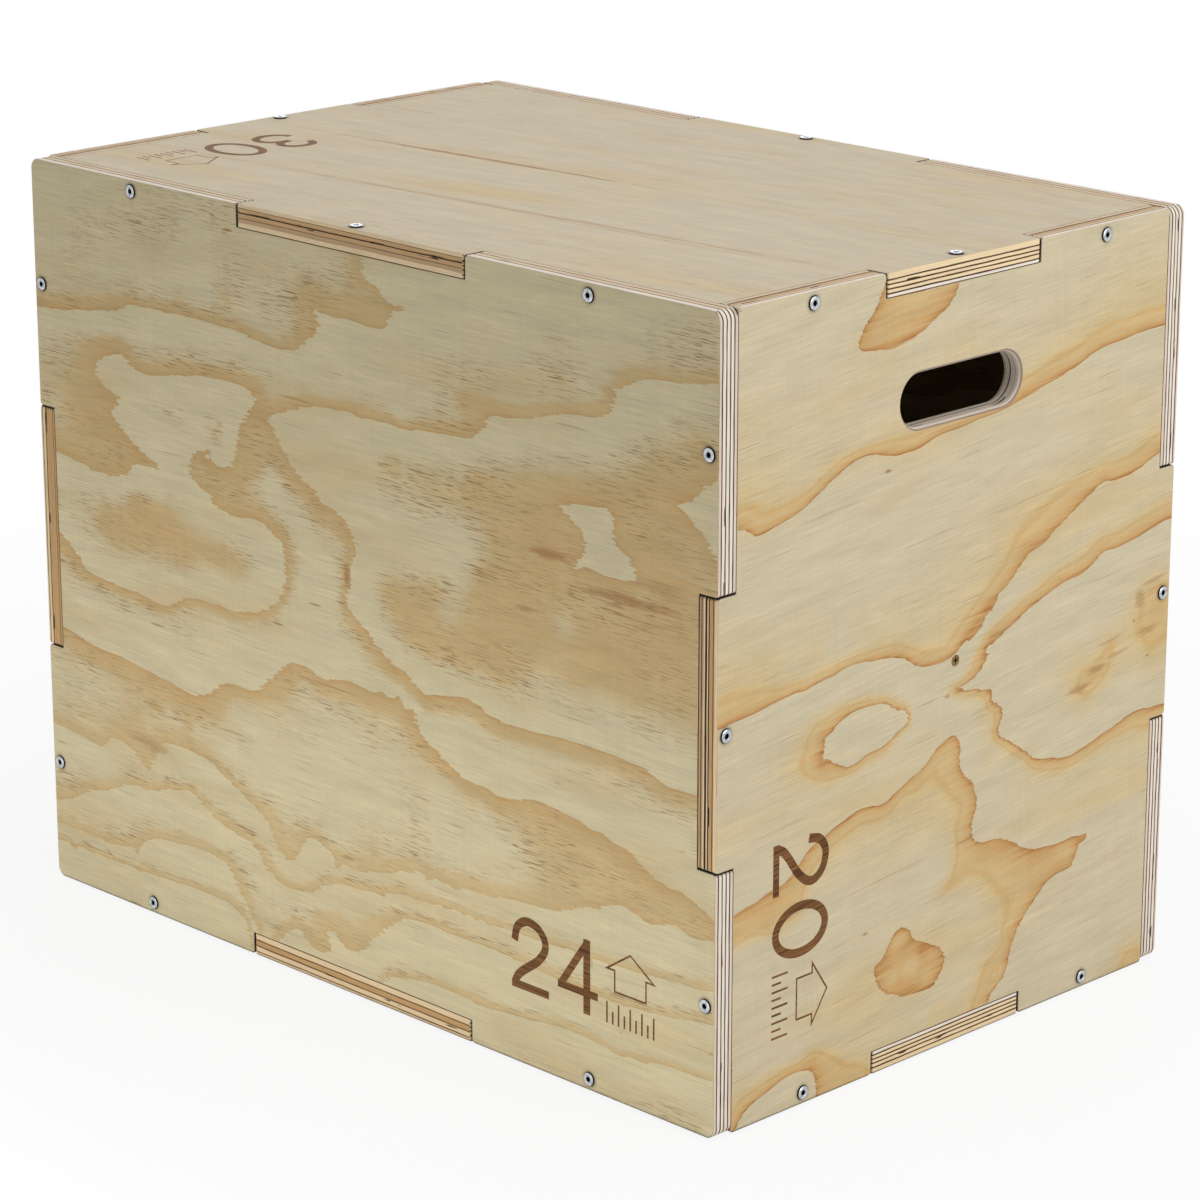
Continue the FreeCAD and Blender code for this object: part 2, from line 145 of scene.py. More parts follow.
# Growth rings of the face veneers. A veneer peeled from a log cuts its rings like the contours
# of a map, so each ring edge is a contour: its level, then points (a, b, fade) in millimetres.
# A point that gives no fade keeps the last one. The dark latewood lies on the left hand of the
# direction of travel and fades over "fade".
RINGS = {
    "right": (
        (0, [(168, 6, 60), (155, 27), (145, 37), (140, 47), (147, 52), (165, 55), (178, 56), (205, 49),
             (235, 35), (246, 24), (250, 6)]),
        (1, [(-20, 156, 30), (20, 158), (33, 162), (39, 165, 28), (60, 162, 26), (80, 158, 22),
             (95, 152, 18), (110, 143, 16), (125, 136), (142, 131, 14), (157, 130), (172, 133, 20),
             (186, 135, 22), (210, 134), (230, 129), (255, 126), (300, 122, 26), (340, 114, 30), (370, 108),
             (386, 104, 28), (400, 99), (416, 95), (440, 92), (490, 90, 30), (530, 87)]),
        (2, [(-20, 303, 40), (20, 297, 36), (40, 295, 30), (65, 291, 18), (100, 287, 12), (140, 282, 11),
             (160, 284, 16), (178, 285, 18), (192, 288), (202, 293), (214, 300, 20), (232, 302, 22),
             (247, 302, 24), (258, 296, 26), (270, 287), (290, 272), (318, 252, 30), (335, 240, 44),
             (350, 235, 46), (365, 228), (395, 212, 40), (412, 204, 30), (422, 200, 26), (434, 201),
             (460, 199, 28), (490, 191, 30), (530, 184)]),
        (3, [(530, 398, 30), (490, 397, 28), (472, 395, 26), (455, 398, 20), (425, 406, 16), (395, 412),
             (378, 412), (350, 405), (342, 399, 11), (328, 390), (311, 379, 12), (305, 372, 14),
             (309, 360, 16), (307, 353), (296, 345), (297, 338, 12), (286, 336, 8), (255, 329, 5),
             (270, 325, 12), (283, 320, 22), (290, 311, 26), (302, 299, 20), (330, 286, 16), (345, 281, 18),
             (375, 271, 20), (400, 268), (418, 259, 22), (428, 256), (445, 256, 24), (480, 250, 26),
             (530, 244)]),
        (3, [(108, 345, 44), (113, 340, 40), (111, 333, 36), (119, 328, 24), (132, 321, 14), (147, 318, 10),
             (163, 318, 8), (178, 320), (187, 326, 7), (200, 331, 5), (203, 341, 4), (192, 346, 5),
             (176, 353, 8), (158, 355, 9), (146, 359, 10), (134, 359, 12), (126, 354, 24), (116, 348, 36),
             (108, 345, 44)]),
        (2, [(292, 622, 36), (305, 585), (318, 575), (324, 566), (327, 556), (336, 538, 38), (347, 527, 44),
             (356, 519, 50), (371, 509, 60), (400, 502, 44), (404, 493, 40), (418, 484, 20), (400, 480, 60),
             (375, 480, 70), (355, 478, 80), (340, 474), (327, 466, 70), (310, 459, 60), (290, 456, 50),
             (279, 450, 40), (278, 438, 34), (283, 425), (280, 413), (276, 405), (267, 397, 36),
             (262, 387, 40), (261, 370), (253, 363, 36), (244, 366, 34), (232, 371, 30), (220, 380, 26),
             (204, 387, 22), (190, 393, 20), (175, 398), (160, 396, 22), (145, 397, 24), (125, 402),
             (108, 408, 26), (95, 413, 30), (84, 423, 36), (74, 430, 44), (58, 434, 60), (20, 441),
             (-20, 447)]),
        (1, [(180, 519, 90), (170, 525, 60), (174, 538, 90), (182, 546), (202, 557), (220, 559), (236, 557),
             (246, 549), (250, 540), (246, 530), (237, 524), (214, 513), (210, 505), (203, 501), (194, 502),
             (187, 509), (180, 519)]),
        (2, [(14, 622, 24), (28, 602), (40, 594, 20), (55, 588, 14), (75, 583, 12), (90, 583, 14),
             (102, 588, 40), (108, 597, 50), (109, 622)]),
    ),
    "front": (
        (1, [(-20, 121, 14), (25, 119), (60, 114), (110, 106), (122, 100, 10), (200, 98), (262, 100, 8),
             (292, 104), (318, 103, 16), (334, 92, 24), (346, 79, 30), (341, 69, 40), (362, 69, 26),
             (418, 69, 30), (427, 58), (443, 50, 20), (421, 46, 30), (411, 38, 34), (399, 33, 24),
             (396, 6, 20)]),
        (2, [(-20, 236, 22), (40, 241, 26), (85, 245), (112, 240), (118, 232, 20), (140, 229, 14),
             (151, 226, 12), (128, 216, 26), (110, 207, 36), (93, 192, 40), (104, 181, 36), (80, 169),
             (75, 159, 34), (81, 152, 26), (96, 146, 18), (112, 143, 14), (122, 151), (138, 154),
             (165, 149, 13), (200, 143, 12), (250, 141), (266, 145, 16), (270, 151, 22), (262, 163, 24),
             (253, 173), (249, 188), (243, 205), (236, 212, 22), (222, 212, 20), (210, 205, 16), (199, 204),
             (189, 222, 24), (200, 231), (214, 239, 22), (222, 246), (245, 248, 20), (268, 246, 18),
             (285, 250, 14), (298, 258, 13), (303, 272, 12), (301, 290, 9), (292, 310, 6), (266, 321, 8),
             (240, 326, 9), (200, 326), (180, 329), (165, 336), (150, 342), (110, 338), (56, 333, 10),
             (46, 325, 18), (32, 313, 22), (10, 306, 20), (-20, 303)]),
        (2, [(790, 349, 14), (730, 352), (710, 352), (690, 345), (640, 342), (600, 343), (545, 345),
             (510, 336), (490, 338), (458, 342), (445, 335), (420, 325), (400, 312), (386, 302),
             (377, 296, 12), (372, 286, 7), (378, 274, 10), (376, 265), (384, 249, 14), (383, 238, 22),
             (376, 227, 26), (355, 218, 22), (325, 203, 20), (308, 190, 24), (297, 176), (286, 163),
             (297, 157, 16), (312, 151, 14), (332, 144, 12), (345, 141, 8), (385, 140, 10), (420, 140, 8),
             (440, 141, 5), (470, 138, 10), (500, 137, 14), (515, 133, 18), (526, 125, 20), (531, 117),
             (546, 113, 14), (570, 110, 13), (592, 103, 11), (620, 98, 12), (642, 96, 14), (657, 88),
             (663, 72, 12), (680, 63), (700, 58), (722, 57), (742, 53), (790, 43)]),
        (1, [(790, 445, 30), (755, 438), (735, 431), (700, 425, 40), (672, 410), (640, 405), (600, 398),
             (575, 397, 30), (545, 404, 16), (505, 400, 14), (492, 395), (476, 387, 16), (462, 380, 18),
             (446, 366, 20), (434, 358, 16), (400, 355, 18), (370, 353), (346, 359, 14), (326, 354),
             (312, 353, 18), (300, 358, 24), (288, 367, 26), (275, 377, 22), (264, 386, 14), (236, 388),
             (214, 396, 22), (204, 403, 24), (185, 408), (160, 405), (100, 398, 20), (60, 396, 18),
             (20, 388), (-20, 384)]),
        (1, [(-20, 474, 12), (40, 477), (66, 480, 14), (76, 472, 16), (92, 470, 24), (106, 473, 30),
             (114, 479), (126, 480), (137, 471, 24), (152, 464, 14), (143, 458), (165, 455), (200, 458, 12),
             (220, 466, 10), (255, 482), (272, 491, 16), (286, 508, 26), (300, 518, 30), (310, 510, 24),
             (321, 494, 12), (335, 492, 8), (350, 499), (375, 505, 14), (400, 501, 18), (425, 494, 14),
             (455, 487, 12), (500, 486, 10), (560, 481, 14), (600, 477, 26), (622, 469, 30), (645, 463),
             (665, 455), (700, 460), (720, 455), (745, 458), (790, 454)]),
        (2, [(-20, 540, 16), (15, 538), (50, 522, 12), (75, 515, 10), (100, 505, 9), (130, 502, 8),
             (146, 497), (165, 493, 7), (181, 491), (195, 499, 9), (212, 506, 10), (245, 513), (262, 520),
             (270, 531), (285, 538, 8), (300, 540, 6), (320, 538, 7), (332, 534, 8), (347, 525),
             (362, 521, 7), (400, 517), (420, 512, 6), (440, 508), (520, 506, 5), (600, 504), (700, 500),
             (790, 490)]),
        (3, [(-20, 562, 7), (60, 562, 8), (92, 562, 12), (110, 556), (122, 547), (140, 542, 10),
             (185, 537, 9), (205, 538), (222, 543, 12), (234, 554, 14), (248, 574), (257, 586), (264, 600),
             (273, 616, 10), (282, 598), (290, 586, 12), (303, 575), (310, 574, 14), (322, 582, 20),
             (336, 585, 24), (346, 579), (344, 567), (352, 563, 26), (362, 571, 30), (376, 573, 28),
             (392, 564, 26), (402, 554, 22), (425, 536, 14), (442, 528, 8), (520, 527, 6), (600, 530),
             (680, 530), (790, 516)]),
        (4, [(-20, 579, 5), (100, 576), (200, 573), (230, 576, 6), (246, 586), (256, 620)]),
        (4, [(398, 622, 5), (412, 586), (440, 576), (480, 573), (520, 575), (560, 573), (600, 568),
             (640, 568), (665, 572), (700, 567), (790, 560)]),
        (3, [(607, 168, 30), (640, 161), (656, 162), (661, 180), (682, 200, 24), (678, 208), (655, 211),
             (638, 208), (620, 211), (630, 196, 30), (627, 181), (607, 168)]),
        (3, [(780, 188, 20), (757, 173), (750, 161), (735, 152, 24), (724, 143, 30), (740, 136, 24),
             (748, 126, 20), (780, 106)]),
    ),
    "top": (
        (1, [(-20, 276, 16), (125, 264, 14), (200, 259, 12), (400, 245), (525, 240, 14), (790, 236, 20)]),
        (2, [(-20, 412, 20), (100, 401, 18), (210, 388, 16), (350, 384, 14), (450, 376), (560, 371),
             (650, 360), (790, 348, 16)]),
    ),
}
# Spots set the map between the contours: for each level, the places (a, b) that have it.
SPOTS = {
    "right": {
        -0.2: [(200, 25)],
        0.2: [(60, 20)],
        0.25: [(100, 70)],
        0.3: [(330, 30)],
        0.35: [(150, 95)],
        0.4: [(420, 30), (300, 75), (210, 70)],
        0.45: [(100, 110), (150, 112)],
        0.5: [(60, 110), (380, 70), (250, 60)],
        0.6: [(440, 60), (330, 95), (60, 140)],
        0.65: [(440, 75)],
        0.75: [(215, 535)],
        0.8: [(198, 512), (230, 545), (190, 535)],
        1.12: [(120, 180)],
        1.15: [(60, 200), (200, 170), (400, 140), (350, 140), (150, 520), (150, 550)],
        1.2: [(200, 210), (120, 490), (60, 540)],
        1.25: [(200, 478), (270, 520), (120, 560), (60, 515), (226, 487)],
        1.3: [(20, 474), (55, 473), (90, 468), (245, 468), (232, 477), (242, 494)],
        1.35: [(250, 200), (430, 165), (268, 498)],
        1.4: [(330, 180), (100, 235), (240, 570)],
        1.45: [(180, 450), (200, 585)],
        1.5: [(60, 250), (200, 250), (150, 260), (250, 235), (150, 430), (300, 530), (280, 570),
              (150, 585)],
        1.55: [(300, 215), (450, 178), (220, 430), (250, 590)],
        1.6: [(60, 265), (240, 275), (100, 270), (100, 440)],
        1.65: [(330, 205), (200, 400), (150, 410), (315, 545), (310, 572), (242, 484), (60, 576)],
        1.75: [(245, 400), (260, 440), (310, 500), (252, 482), (28, 586)],
        1.8: [(85, 458), (262, 470), (150, 598), (130, 590)],
        1.85: [(60, 450), (240, 385), (270, 425), (20, 464), (55, 463)],
        1.88: [(300, 470), (340, 490)],
        1.9: [(380, 492)],
        2.1: [(75, 602)],
        2.12: [(390, 560)],
        2.15: [(100, 300), (200, 312), (60, 390), (300, 430), (450, 530), (450, 480), (490, 560)],
        2.2: [(450, 220)],
        2.25: [(380, 240), (226, 332), (420, 450)],
        2.3: [(200, 370), (240, 345), (60, 320), (270, 350), (340, 440), (450, 588)],
        2.45: [(60, 340), (285, 370), (400, 428)],
        2.5: [(100, 366), (150, 369), (290, 395), (340, 420), (450, 425)],
        2.65: [(80, 350)],
        2.75: [(90, 340), (470, 599)],
        2.8: [(480, 604)],
        3.15: [(150, 337), (330, 330)],
        3.2: [(360, 370), (430, 385), (350, 300), (470, 375)],
        3.25: [(400, 310)],
        3.3: [(450, 280)],
        3.35: [(440, 310)],
        3.45: [(370, 345)],
        3.55: [(440, 361)],
        3.6: [(450, 345), (490, 361), (418, 337)],
        3.7: [(480, 348)],
        3.75: [(436, 332)],
        3.8: [(478, 314)],
        3.85: [(408, 360), (424, 348), (490, 322)],
        3.9: [(495, 310)],
    },
    "front": {
        0.2: [(400, 430)],
        0.25: [(300, 420), (350, 460)],
        0.3: [(310, 40), (60, 25)],
        0.35: [(355, 15), (500, 440), (250, 440), (330, 400), (50, 430), (340, 480)],
        0.4: [(350, 40), (60, 60), (110, 40), (450, 460), (400, 395), (450, 420), (30, 450)],
        0.45: [(290, 85), (240, 60), (150, 60), (150, 25), (250, 30), (520, 415)],
        0.5: [(372, 22), (560, 430), (80, 450)],
        0.55: [(60, 95), (180, 85), (400, 475)],
        0.6: [(370, 55), (240, 80), (100, 420), (215, 425), (30, 408)],
        0.65: [(140, 430), (180, 440)],
        0.7: [(120, 90)],
        0.72: [(600, 440), (640, 418)],
        0.75: [(390, 50), (660, 430)],
        0.78: [(700, 445)],
        0.8: [(600, 460), (730, 447)],
        0.85: [(330, 84), (420, 55)],
        0.9: [(115, 460)],
        1.15: [(200, 115), (300, 118), (285, 214), (330, 260), (345, 280), (100, 488), (180, 475)],
        1.2: [(60, 125), (150, 122), (560, 40), (300, 232), (320, 245), (340, 256), (330, 295), (340, 320),
              (310, 335), (320, 345), (480, 365), (250, 498), (620, 488), (700, 478), (740, 475)],
        1.25: [(440, 115), (480, 80), (355, 268), (320, 282), (100, 365), (250, 355), (420, 345),
               (600, 385), (40, 495), (300, 528), (350, 512), (540, 494)],
        1.3: [(30, 135), (120, 128), (400, 105), (640, 40), (560, 80), (40, 360), (560, 365), (450, 497)],
        1.35: [(700, 30), (680, 375), (740, 390)],
        1.4: [(360, 118)],
        1.45: [(480, 118), (180, 350), (100, 352)],
        1.5: [(300, 132), (745, 25), (15, 215), (400, 335), (700, 364)],
        1.55: [(40, 160), (30, 200), (20, 175), (620, 357)],
        1.6: [(380, 131), (605, 76), (50, 150)],
        1.65: [(85, 133), (200, 135), (250, 133)],
        1.7: [(720, 45), (30, 225)],
        1.75: [(510, 115), (272, 238)],
        1.85: [(60, 190), (75, 175), (275, 170), (265, 200), (220, 228), (250, 230), (205, 215), (290, 190),
               (320, 212), (345, 228)],
        1.9: [(75, 215), (100, 230), (370, 240)],
        2.1: [(740, 62), (600, 118)],
        2.12: [(400, 180), (560, 130), (640, 115), (700, 80), (600, 326), (660, 326)],
        2.15: [(150, 200), (220, 165), (170, 215), (130, 175), (440, 225), (400, 200), (440, 150),
               (400, 250), (395, 225), (520, 328), (590, 322), (540, 330), (720, 331)],
        2.2: [(30, 265), (150, 244), (280, 285), (150, 320), (230, 314), (480, 215), (385, 290), (408, 305),
              (394, 270), (460, 325), (470, 326), (440, 318), (180, 515)],
        2.22: [(500, 228), (432, 316), (505, 212), (450, 243), (412, 252)],
        2.25: [(230, 262), (488, 240), (407, 290), (520, 145), (100, 535), (240, 530)],
        2.3: [(75, 258), (80, 314), (30, 550), (280, 560), (440, 518), (600, 516)],
        2.4: [(20, 285)],
        2.42: [(165, 178)],
        2.45: [(680, 115), (330, 548)],
        2.5: [(609, 255), (487, 277)],
        2.55: [(220, 191)],
        2.6: [(425, 168), (470, 172), (500, 188), (700, 110), (740, 90)],
        2.62: [(414, 274)],
        2.64: [(428, 263)],
        2.65: [(250, 290), (570, 152), (740, 295)],
        2.66: [(535, 203), (522, 238), (470, 258), (545, 314)],
        2.68: [(505, 313), (620, 294)],
        2.7: [(118, 259), (180, 300), (100, 300), (520, 165), (430, 288), (446, 303), (600, 150),
              (740, 260)],
        2.72: [(220, 280), (470, 308), (560, 285), (680, 290)],
        2.74: [(555, 220), (460, 280), (520, 262)],
        2.75: [(150, 262), (80, 285), (560, 180), (690, 140), (650, 145), (740, 200), (700, 260),
               (620, 280), (745, 105)],
        2.76: [(500, 290)],
        2.78: [(585, 268)],
        2.8: [(150, 285), (700, 170), (640, 250), (630, 264)],
        2.82: [(590, 235)],
        2.85: [(600, 190), (600, 232), (700, 190), (575, 250)],
        2.9: [(720, 225)],
        2.92: [(640, 222), (680, 223)],
        2.93: [(600, 205)],
        3.1: [(760, 150)],
        3.12: [(640, 190)],
        3.2: [(180, 555), (340, 600)],
        3.25: [(480, 550), (640, 550), (560, 550), (700, 545)],
        3.3: [(460, 560), (100, 568), (420, 560)],
        3.35: [(520, 562)],
        4.3: [(100, 598)],
        4.4: [(560, 595), (720, 595)],
    },
    "top": {
        0.3: [(100, 40), (400, 30), (700, 30)],
        0.35: [(200, 110), (500, 110)],
        0.45: [(60, 190), (180, 190), (300, 190), (420, 185), (540, 180), (660, 180)],
        0.5: [(60, 230)],
        1.35: [(400, 315), (530, 315)],
        1.4: [(100, 330), (250, 330), (700, 290)],
        2.35: [(200, 460)],
        2.4: [(500, 450), (700, 430)],
    },
}
# Pin knots, bruises and streaks along the fibres: middle (a, b), half length, half width and how
# dark. All of them fade out with the depth, at this rate per metre. Their outlines wander by a share
# of their size, and they fade from the first of these shares of it to the second.
SPECK_DEPTH_RATE = 30.0
SPECK_WANDER = 0.45
SPECK_FADE = (0.4, 1.1)
SPECKS = {
    "right": [(175, 145, 4.5, 1.6, 0.7), (160, 495, 4.0, 1.2, 0.7), (483, 352, 3.5, 1.0, 0.6),
              (465, 320, 1.6, 2.6, 0.6), (222, 331, 14, 1.1, 0.35), (246, 331, 4.0, 2.0, 0.45),
              (182, 456, 62, 0.9, 0.3), (225, 204, 38, 0.9, 0.25), (330, 197, 50, 0.9, 0.25),
              (270, 450, 12, 1.0, 0.45), (435, 330, 14, 1.2, 0.35), (399, 361, 15, 4.0, 0.5),
              (420, 349, 13, 3.5, 0.5), (446, 342, 16, 2.0, 0.34), (471, 303, 7.0, 8.0, 0.42),
              (488, 292, 16, 3.0, 0.4), (482, 331, 16, 3.0, 0.4), (124, 163, 40, 1.4, 0.25)],
    "front": [(374, 268, 4.5, 11, 0.5), (243, 22, 6.0, 1.5, 0.7), (350, 362, 42, 0.9, 0.4),
              (292, 325, 7.0, 1.0, 0.6), (336, 300, 8.0, 1.0, 0.6), (12, 490, 9.0, 0.8, 0.6),
              (144, 359, 9.0, 0.8, 0.6), (318, 141, 22, 0.9, 0.4), (240, 428, 30, 0.7, 0.35),
              (597, 205, 26, 5.0, 0.5), (676, 223, 54, 5.0, 0.45), (708, 207, 26, 6.0, 0.25),
              (568, 252, 9.0, 3.0, 0.3), (523, 235, 11, 2.5, 0.25), (126, 462, 26, 5.0, 0.28),
              (690, 236, 24, 1.2, 0.35), (140, 430, 12, 3.0, 0.2)],
    "top": [(268, 254, 150, 3.4, 0.75), (215, 258, 90, 2.6, 0.75), (425, 374, 330, 3.4, 0.32),
            (560, 372, 120, 1.6, 0.25), (60, 152, 34, 3.0, 0.2), (400, 108, 200, 1.6, 0.12)],
}
# The ring map, in millimetres and levels. Beside a contour the level falls on the dark side and rises
# on the pale side, except where another contour is closer than a share of the reach.
CONTOUR_STEP = 12.0
EDGE_REACH = 14.0
PALE_REACH = 10.0
PALE_RISE = 0.12
FADE_DROP = 0.5
CROWDED_SHARE = 0.8
MAP_ROUNDNESS = 7.0
MAP_EASE = 0.2
MAP_CHUNK = 2000
# Waves that bend an invented figure: weight, length along and across the panel, and shift.
RING_WAVES = (
    (1.0, 230, math.inf, 1.0), (0.5, 97, 140, 2.3), (0.3, 43, -75, 4.1), (0.2, 24, 38, 1.7),
    (0.1, 9, -21, 3.3),
)
EYE_RADII = (190, 80)
EYE_RISE = 1.6


def smooth_curve(points, step):
    """Places about one step apart on a smooth curve through the points, and whether it closes."""
    p = np.array(points, float)
    closed = np.allclose(p[0, :2], p[-1, :2])
    before, after = (p[-2:-1], p[1:2]) if closed else (2 * p[:1] - p[1:2], 2 * p[-1:] - p[-2:-1])
    p = np.concatenate((before, p, after))
    pieces = []
    for start, here, there, end in zip(p, p[1:], p[2:], p[3:]):
        count = max(2, int(np.linalg.norm((there - here)[:2]) / step))
        t = (np.arange(count) / count)[:, None]
        square = 2 * start - 5 * here + 4 * there - end
        cube = 3 * here - start - 3 * there + end
        pieces.append(here + ((there - start) * t + square * t ** 2 + cube * t ** 3) / 2)
    if not closed:
        pieces.append(p[-2:-1])
    return np.concatenate(pieces), closed


def with_fades(points):
    """Contour points as (a, b, fade), where a point that gives no fade keeps the last one."""
    full = []
    for a, b, *fade in points:
        full.append((a, b, *(fade or full[-1][2:])))
    return full


class RingMap:
    """A smooth map of ring levels that passes close to its contours and spots."""

    def __init__(self, contours, spots):
        edge, level, side, side_level, reach = [], [], [], [], []
        for height, points in contours:
            curve, closed = smooth_curve(with_fades(points), CONTOUR_STEP)
            place, fade = curve[:, :2], curve[:, 2:]
            way = np.roll(place, -1, 0) - np.roll(place, 1, 0) if closed else np.gradient(place, axis=0)
            way /= np.linalg.norm(way, axis=1)[:, None]
            left_hand = np.stack((way[:, 1], -way[:, 0]), 1)
            dark_reach = np.minimum(fade, EDGE_REACH)
            edge.append(place)
            level.append(np.full(len(place), float(height)))
            side += [place + left_hand * dark_reach, place - left_hand * PALE_REACH]
            side_level += [height - FADE_DROP * (dark_reach / fade)[:, 0], level[-1] + PALE_RISE]
            reach += [dark_reach[:, 0], np.full(len(place), PALE_REACH)]
        edge, level, side, side_level, reach = map(np.concatenate, (edge, level, side, side_level, reach))
        nearest = np.linalg.norm(side[:, None] - edge[None], axis=2).min(1)
        free = nearest > CROWDED_SHARE * reach
        spots = np.array([(a, b, level) for level, places in spots.items() for a, b in places], float)
        self.places = np.concatenate((edge, side[free], spots[:, :2]))
        levels = np.concatenate((level, side_level[free], spots[:, 2]))
        count = len(levels)
        system = np.ones((count + 1, count + 1))
        system[:count, :count] = self.kernel(self.places) + MAP_EASE * np.eye(count)
        system[count, count] = 0
        self.weights = np.linalg.solve(system, np.append(levels, 0))

    def kernel(self, points):
        a, b = (points[:, None] - self.places[None]).transpose(2, 0, 1)
        return -np.sqrt(a * a + b * b + MAP_ROUNDNESS ** 2)

    def __call__(self, points):
        chunks = np.array_split(points, max(1, len(points) // MAP_CHUNK))
        return np.concatenate([self.kernel(c) @ self.weights[:-1] for c in chunks]) + self.weights[-1]


def flowing_rings(pitch, sway, phase, eye):
    """Waving rings around an eye, for a face whose real figure isn't known."""
    def level(points):
        a, b = points.T
        bend = 0.0
        for weight, long, wide, shift in RING_WAVES:
            bend = bend + weight * np.sin(a / long + b / wide + shift * phase)
        hill = np.exp(-(((points - eye) / EYE_RADII) ** 2).sum(1))
        return b / pitch + sway * bend + EYE_RISE * hill + phase
    return level


RING_LEVELS = {name: RingMap(RINGS[name], SPOTS[name]) for name in RINGS}
RING_LEVELS["back"] = flowing_rings(135.0, 0.36, 0.4, (290, 330))
RING_LEVELS["left"] = flowing_rings(120.0, 0.38, 1.9, (200, 400))
RING_LEVELS["bottom"] = flowing_rings(170.0, 0.30, 3.1, (420, 200))
RING_LEVELS["brace"] = flowing_rings(60.0, 0.25, 0.9, (250, 60))


def ellipse(middle, radii, count=40):
    turn = np.linspace(0, 2 * np.pi, count, endpoint=False)
    return np.stack((middle[0] + radii[0] * np.cos(turn), middle[1] + radii[1] * np.sin(turn)), 1)


def stroke(points, width, closed=False):
    """Outline loops of a pen stroke along a line: one loop, or two for a closed line."""
    p = np.array(points, float)
    way_out = np.roll(p, -1, 0) - p
    if not closed:
        way_out[-1] = way_out[-2]
    way_out /= np.linalg.norm(way_out, axis=1)[:, None]
    way_in = np.roll(way_out, 1, 0)
    if not closed:
        way_in[0] = way_out[0]
    bisector = way_in + way_out
    bisector /= np.linalg.norm(bisector, axis=1)[:, None]
    mitre = 1 / (bisector * way_out).sum(1)
    push = np.stack((-bisector[:, 1], bisector[:, 0]), 1) * (mitre * width / 2)[:, None]
    if closed:
        return [p + push, p - push]
    return [np.concatenate((p + push, (p - push)[::-1]))]


def curved(points, width):
    line, closed = smooth_curve([(x, y) for x, y in points], 2.0)
    return stroke(line, width, closed)


# Strokes of the plain numerals, drawn in a box 42 wide and 59 high.
NUMERALS = {
    "2": [curved([(4, 37.5), (6.5, 48), (13, 54), (20.5, 55.5), (30, 52.5), (36.3, 45), (36, 36.5),
                  (28, 26.5), (13, 15.5), (6.5, 9), (4.4, 3.2)], DIGIT_STROKE),
          stroke([(0.8, 3.2), (40.5, 3.2)], 6.4)],
    "3": [curved([(4.5, 42.5), (7.5, 50.5), (14, 55), (21, 55.5), (29.5, 52.5), (33.5, 45.5), (31.5, 37.5),
                  (25, 33), (16, 31.8)], DIGIT_STROKE),
          curved([(16, 31.8), (27, 30.5), (34.5, 25), (36.8, 17), (33, 8.5), (25, 4), (18, 3.4), (10, 6),
                  (5, 12), (3.6, 17.5)], DIGIT_STROKE)],
    "4": [stroke([(30.5, 0), (30.5, 59)], 7.2),
          stroke([(31.2, 57), (3.2, 17)], 6.2),
          stroke([(0, 16.6), (42, 16.6)], 6.0)],
    "0": [stroke(ellipse((21.5, 29.5), (18.0, 26.3)), DIGIT_STROKE, closed=True)],
}
ARROW = [(25, 59), (49, 43), (41, 43), (41, 26.5), (9, 26.5), (9, 43), (1, 43)]


def height_mark(digits):
    """Stroke outlines of two numerals, an arrow for up and a short ruler, from the mark's corner."""
    marks = []
    for place, digit in enumerate(digits):
        shift = np.array((place * DIGIT_PITCH, 0))
        marks += [[loop + shift for loop in loops] for loops in NUMERALS[digit]]
    shift = np.array((ARROW_START, 0))
    marks.append([loop + shift for loop in stroke(ARROW, ARROW_STROKE, closed=True)])
    for tick in range(TICK_COUNT):
        across = TICK_START + tick * TICK_PITCH
        marks.append(stroke([(across, 0), (across, TICK_HEIGHTS[tick % 2])], TICK_STROKE))
    return marks


def upright(sheet):
    """The mark stands upright in the lower right corner of the face."""
    size = sheet.size / MM
    corner = np.array((size[0] - MARK_MARGIN - MARK_LENGTH, size[1] - MARK_MARGIN))
    return lambda loop: corner + loop * (1, -1)


def sideways(sheet):
    """The mark is turned a quarter turn clockwise and stands on the left edge of the face."""
    size = sheet.size / MM
    corner = np.array((MARK_MARGIN, size[1] - MARK_MARGIN - MARK_LENGTH))
    return lambda loop: corner + loop[:, ::-1]


MARKS = {
    "front": ("24", upright),
    "right": ("20", sideways),
    "top": ("30", sideways),
}


def inside(points, loops):
    """Which points lie inside the loops taken together, counting crossings."""
    odd = np.zeros(len(points), bool)
    x, y = points.T
    for loop in loops:
        for (x0, y0), (x1, y1) in zip(loop, np.roll(loop, -1, 0)):
            spans = (y0 > y) != (y1 > y)
            if spans.any():
                odd ^= spans & (x < (x1 - x0) * (y - y0) / (y1 - y0 if y1 != y0 else 1) + x0)
    return odd


def loops_of(edges):
    """Boundary edges of a face sorted into closed loops of vertices."""
    after = {}
    for edge in edges:
        for one, two in (edge.verts, reversed(edge.verts)):
            after.setdefault(one, []).append(two)
    loops = []
    left = set(after)
    while left:
        loop = [left.pop()]
        while True:
            following = [v for v in after[loop[-1]] if v in left]
            if not following:
                break
            loop.append(following[0])
            left.discard(following[0])
        loops.append(loop)
    return loops


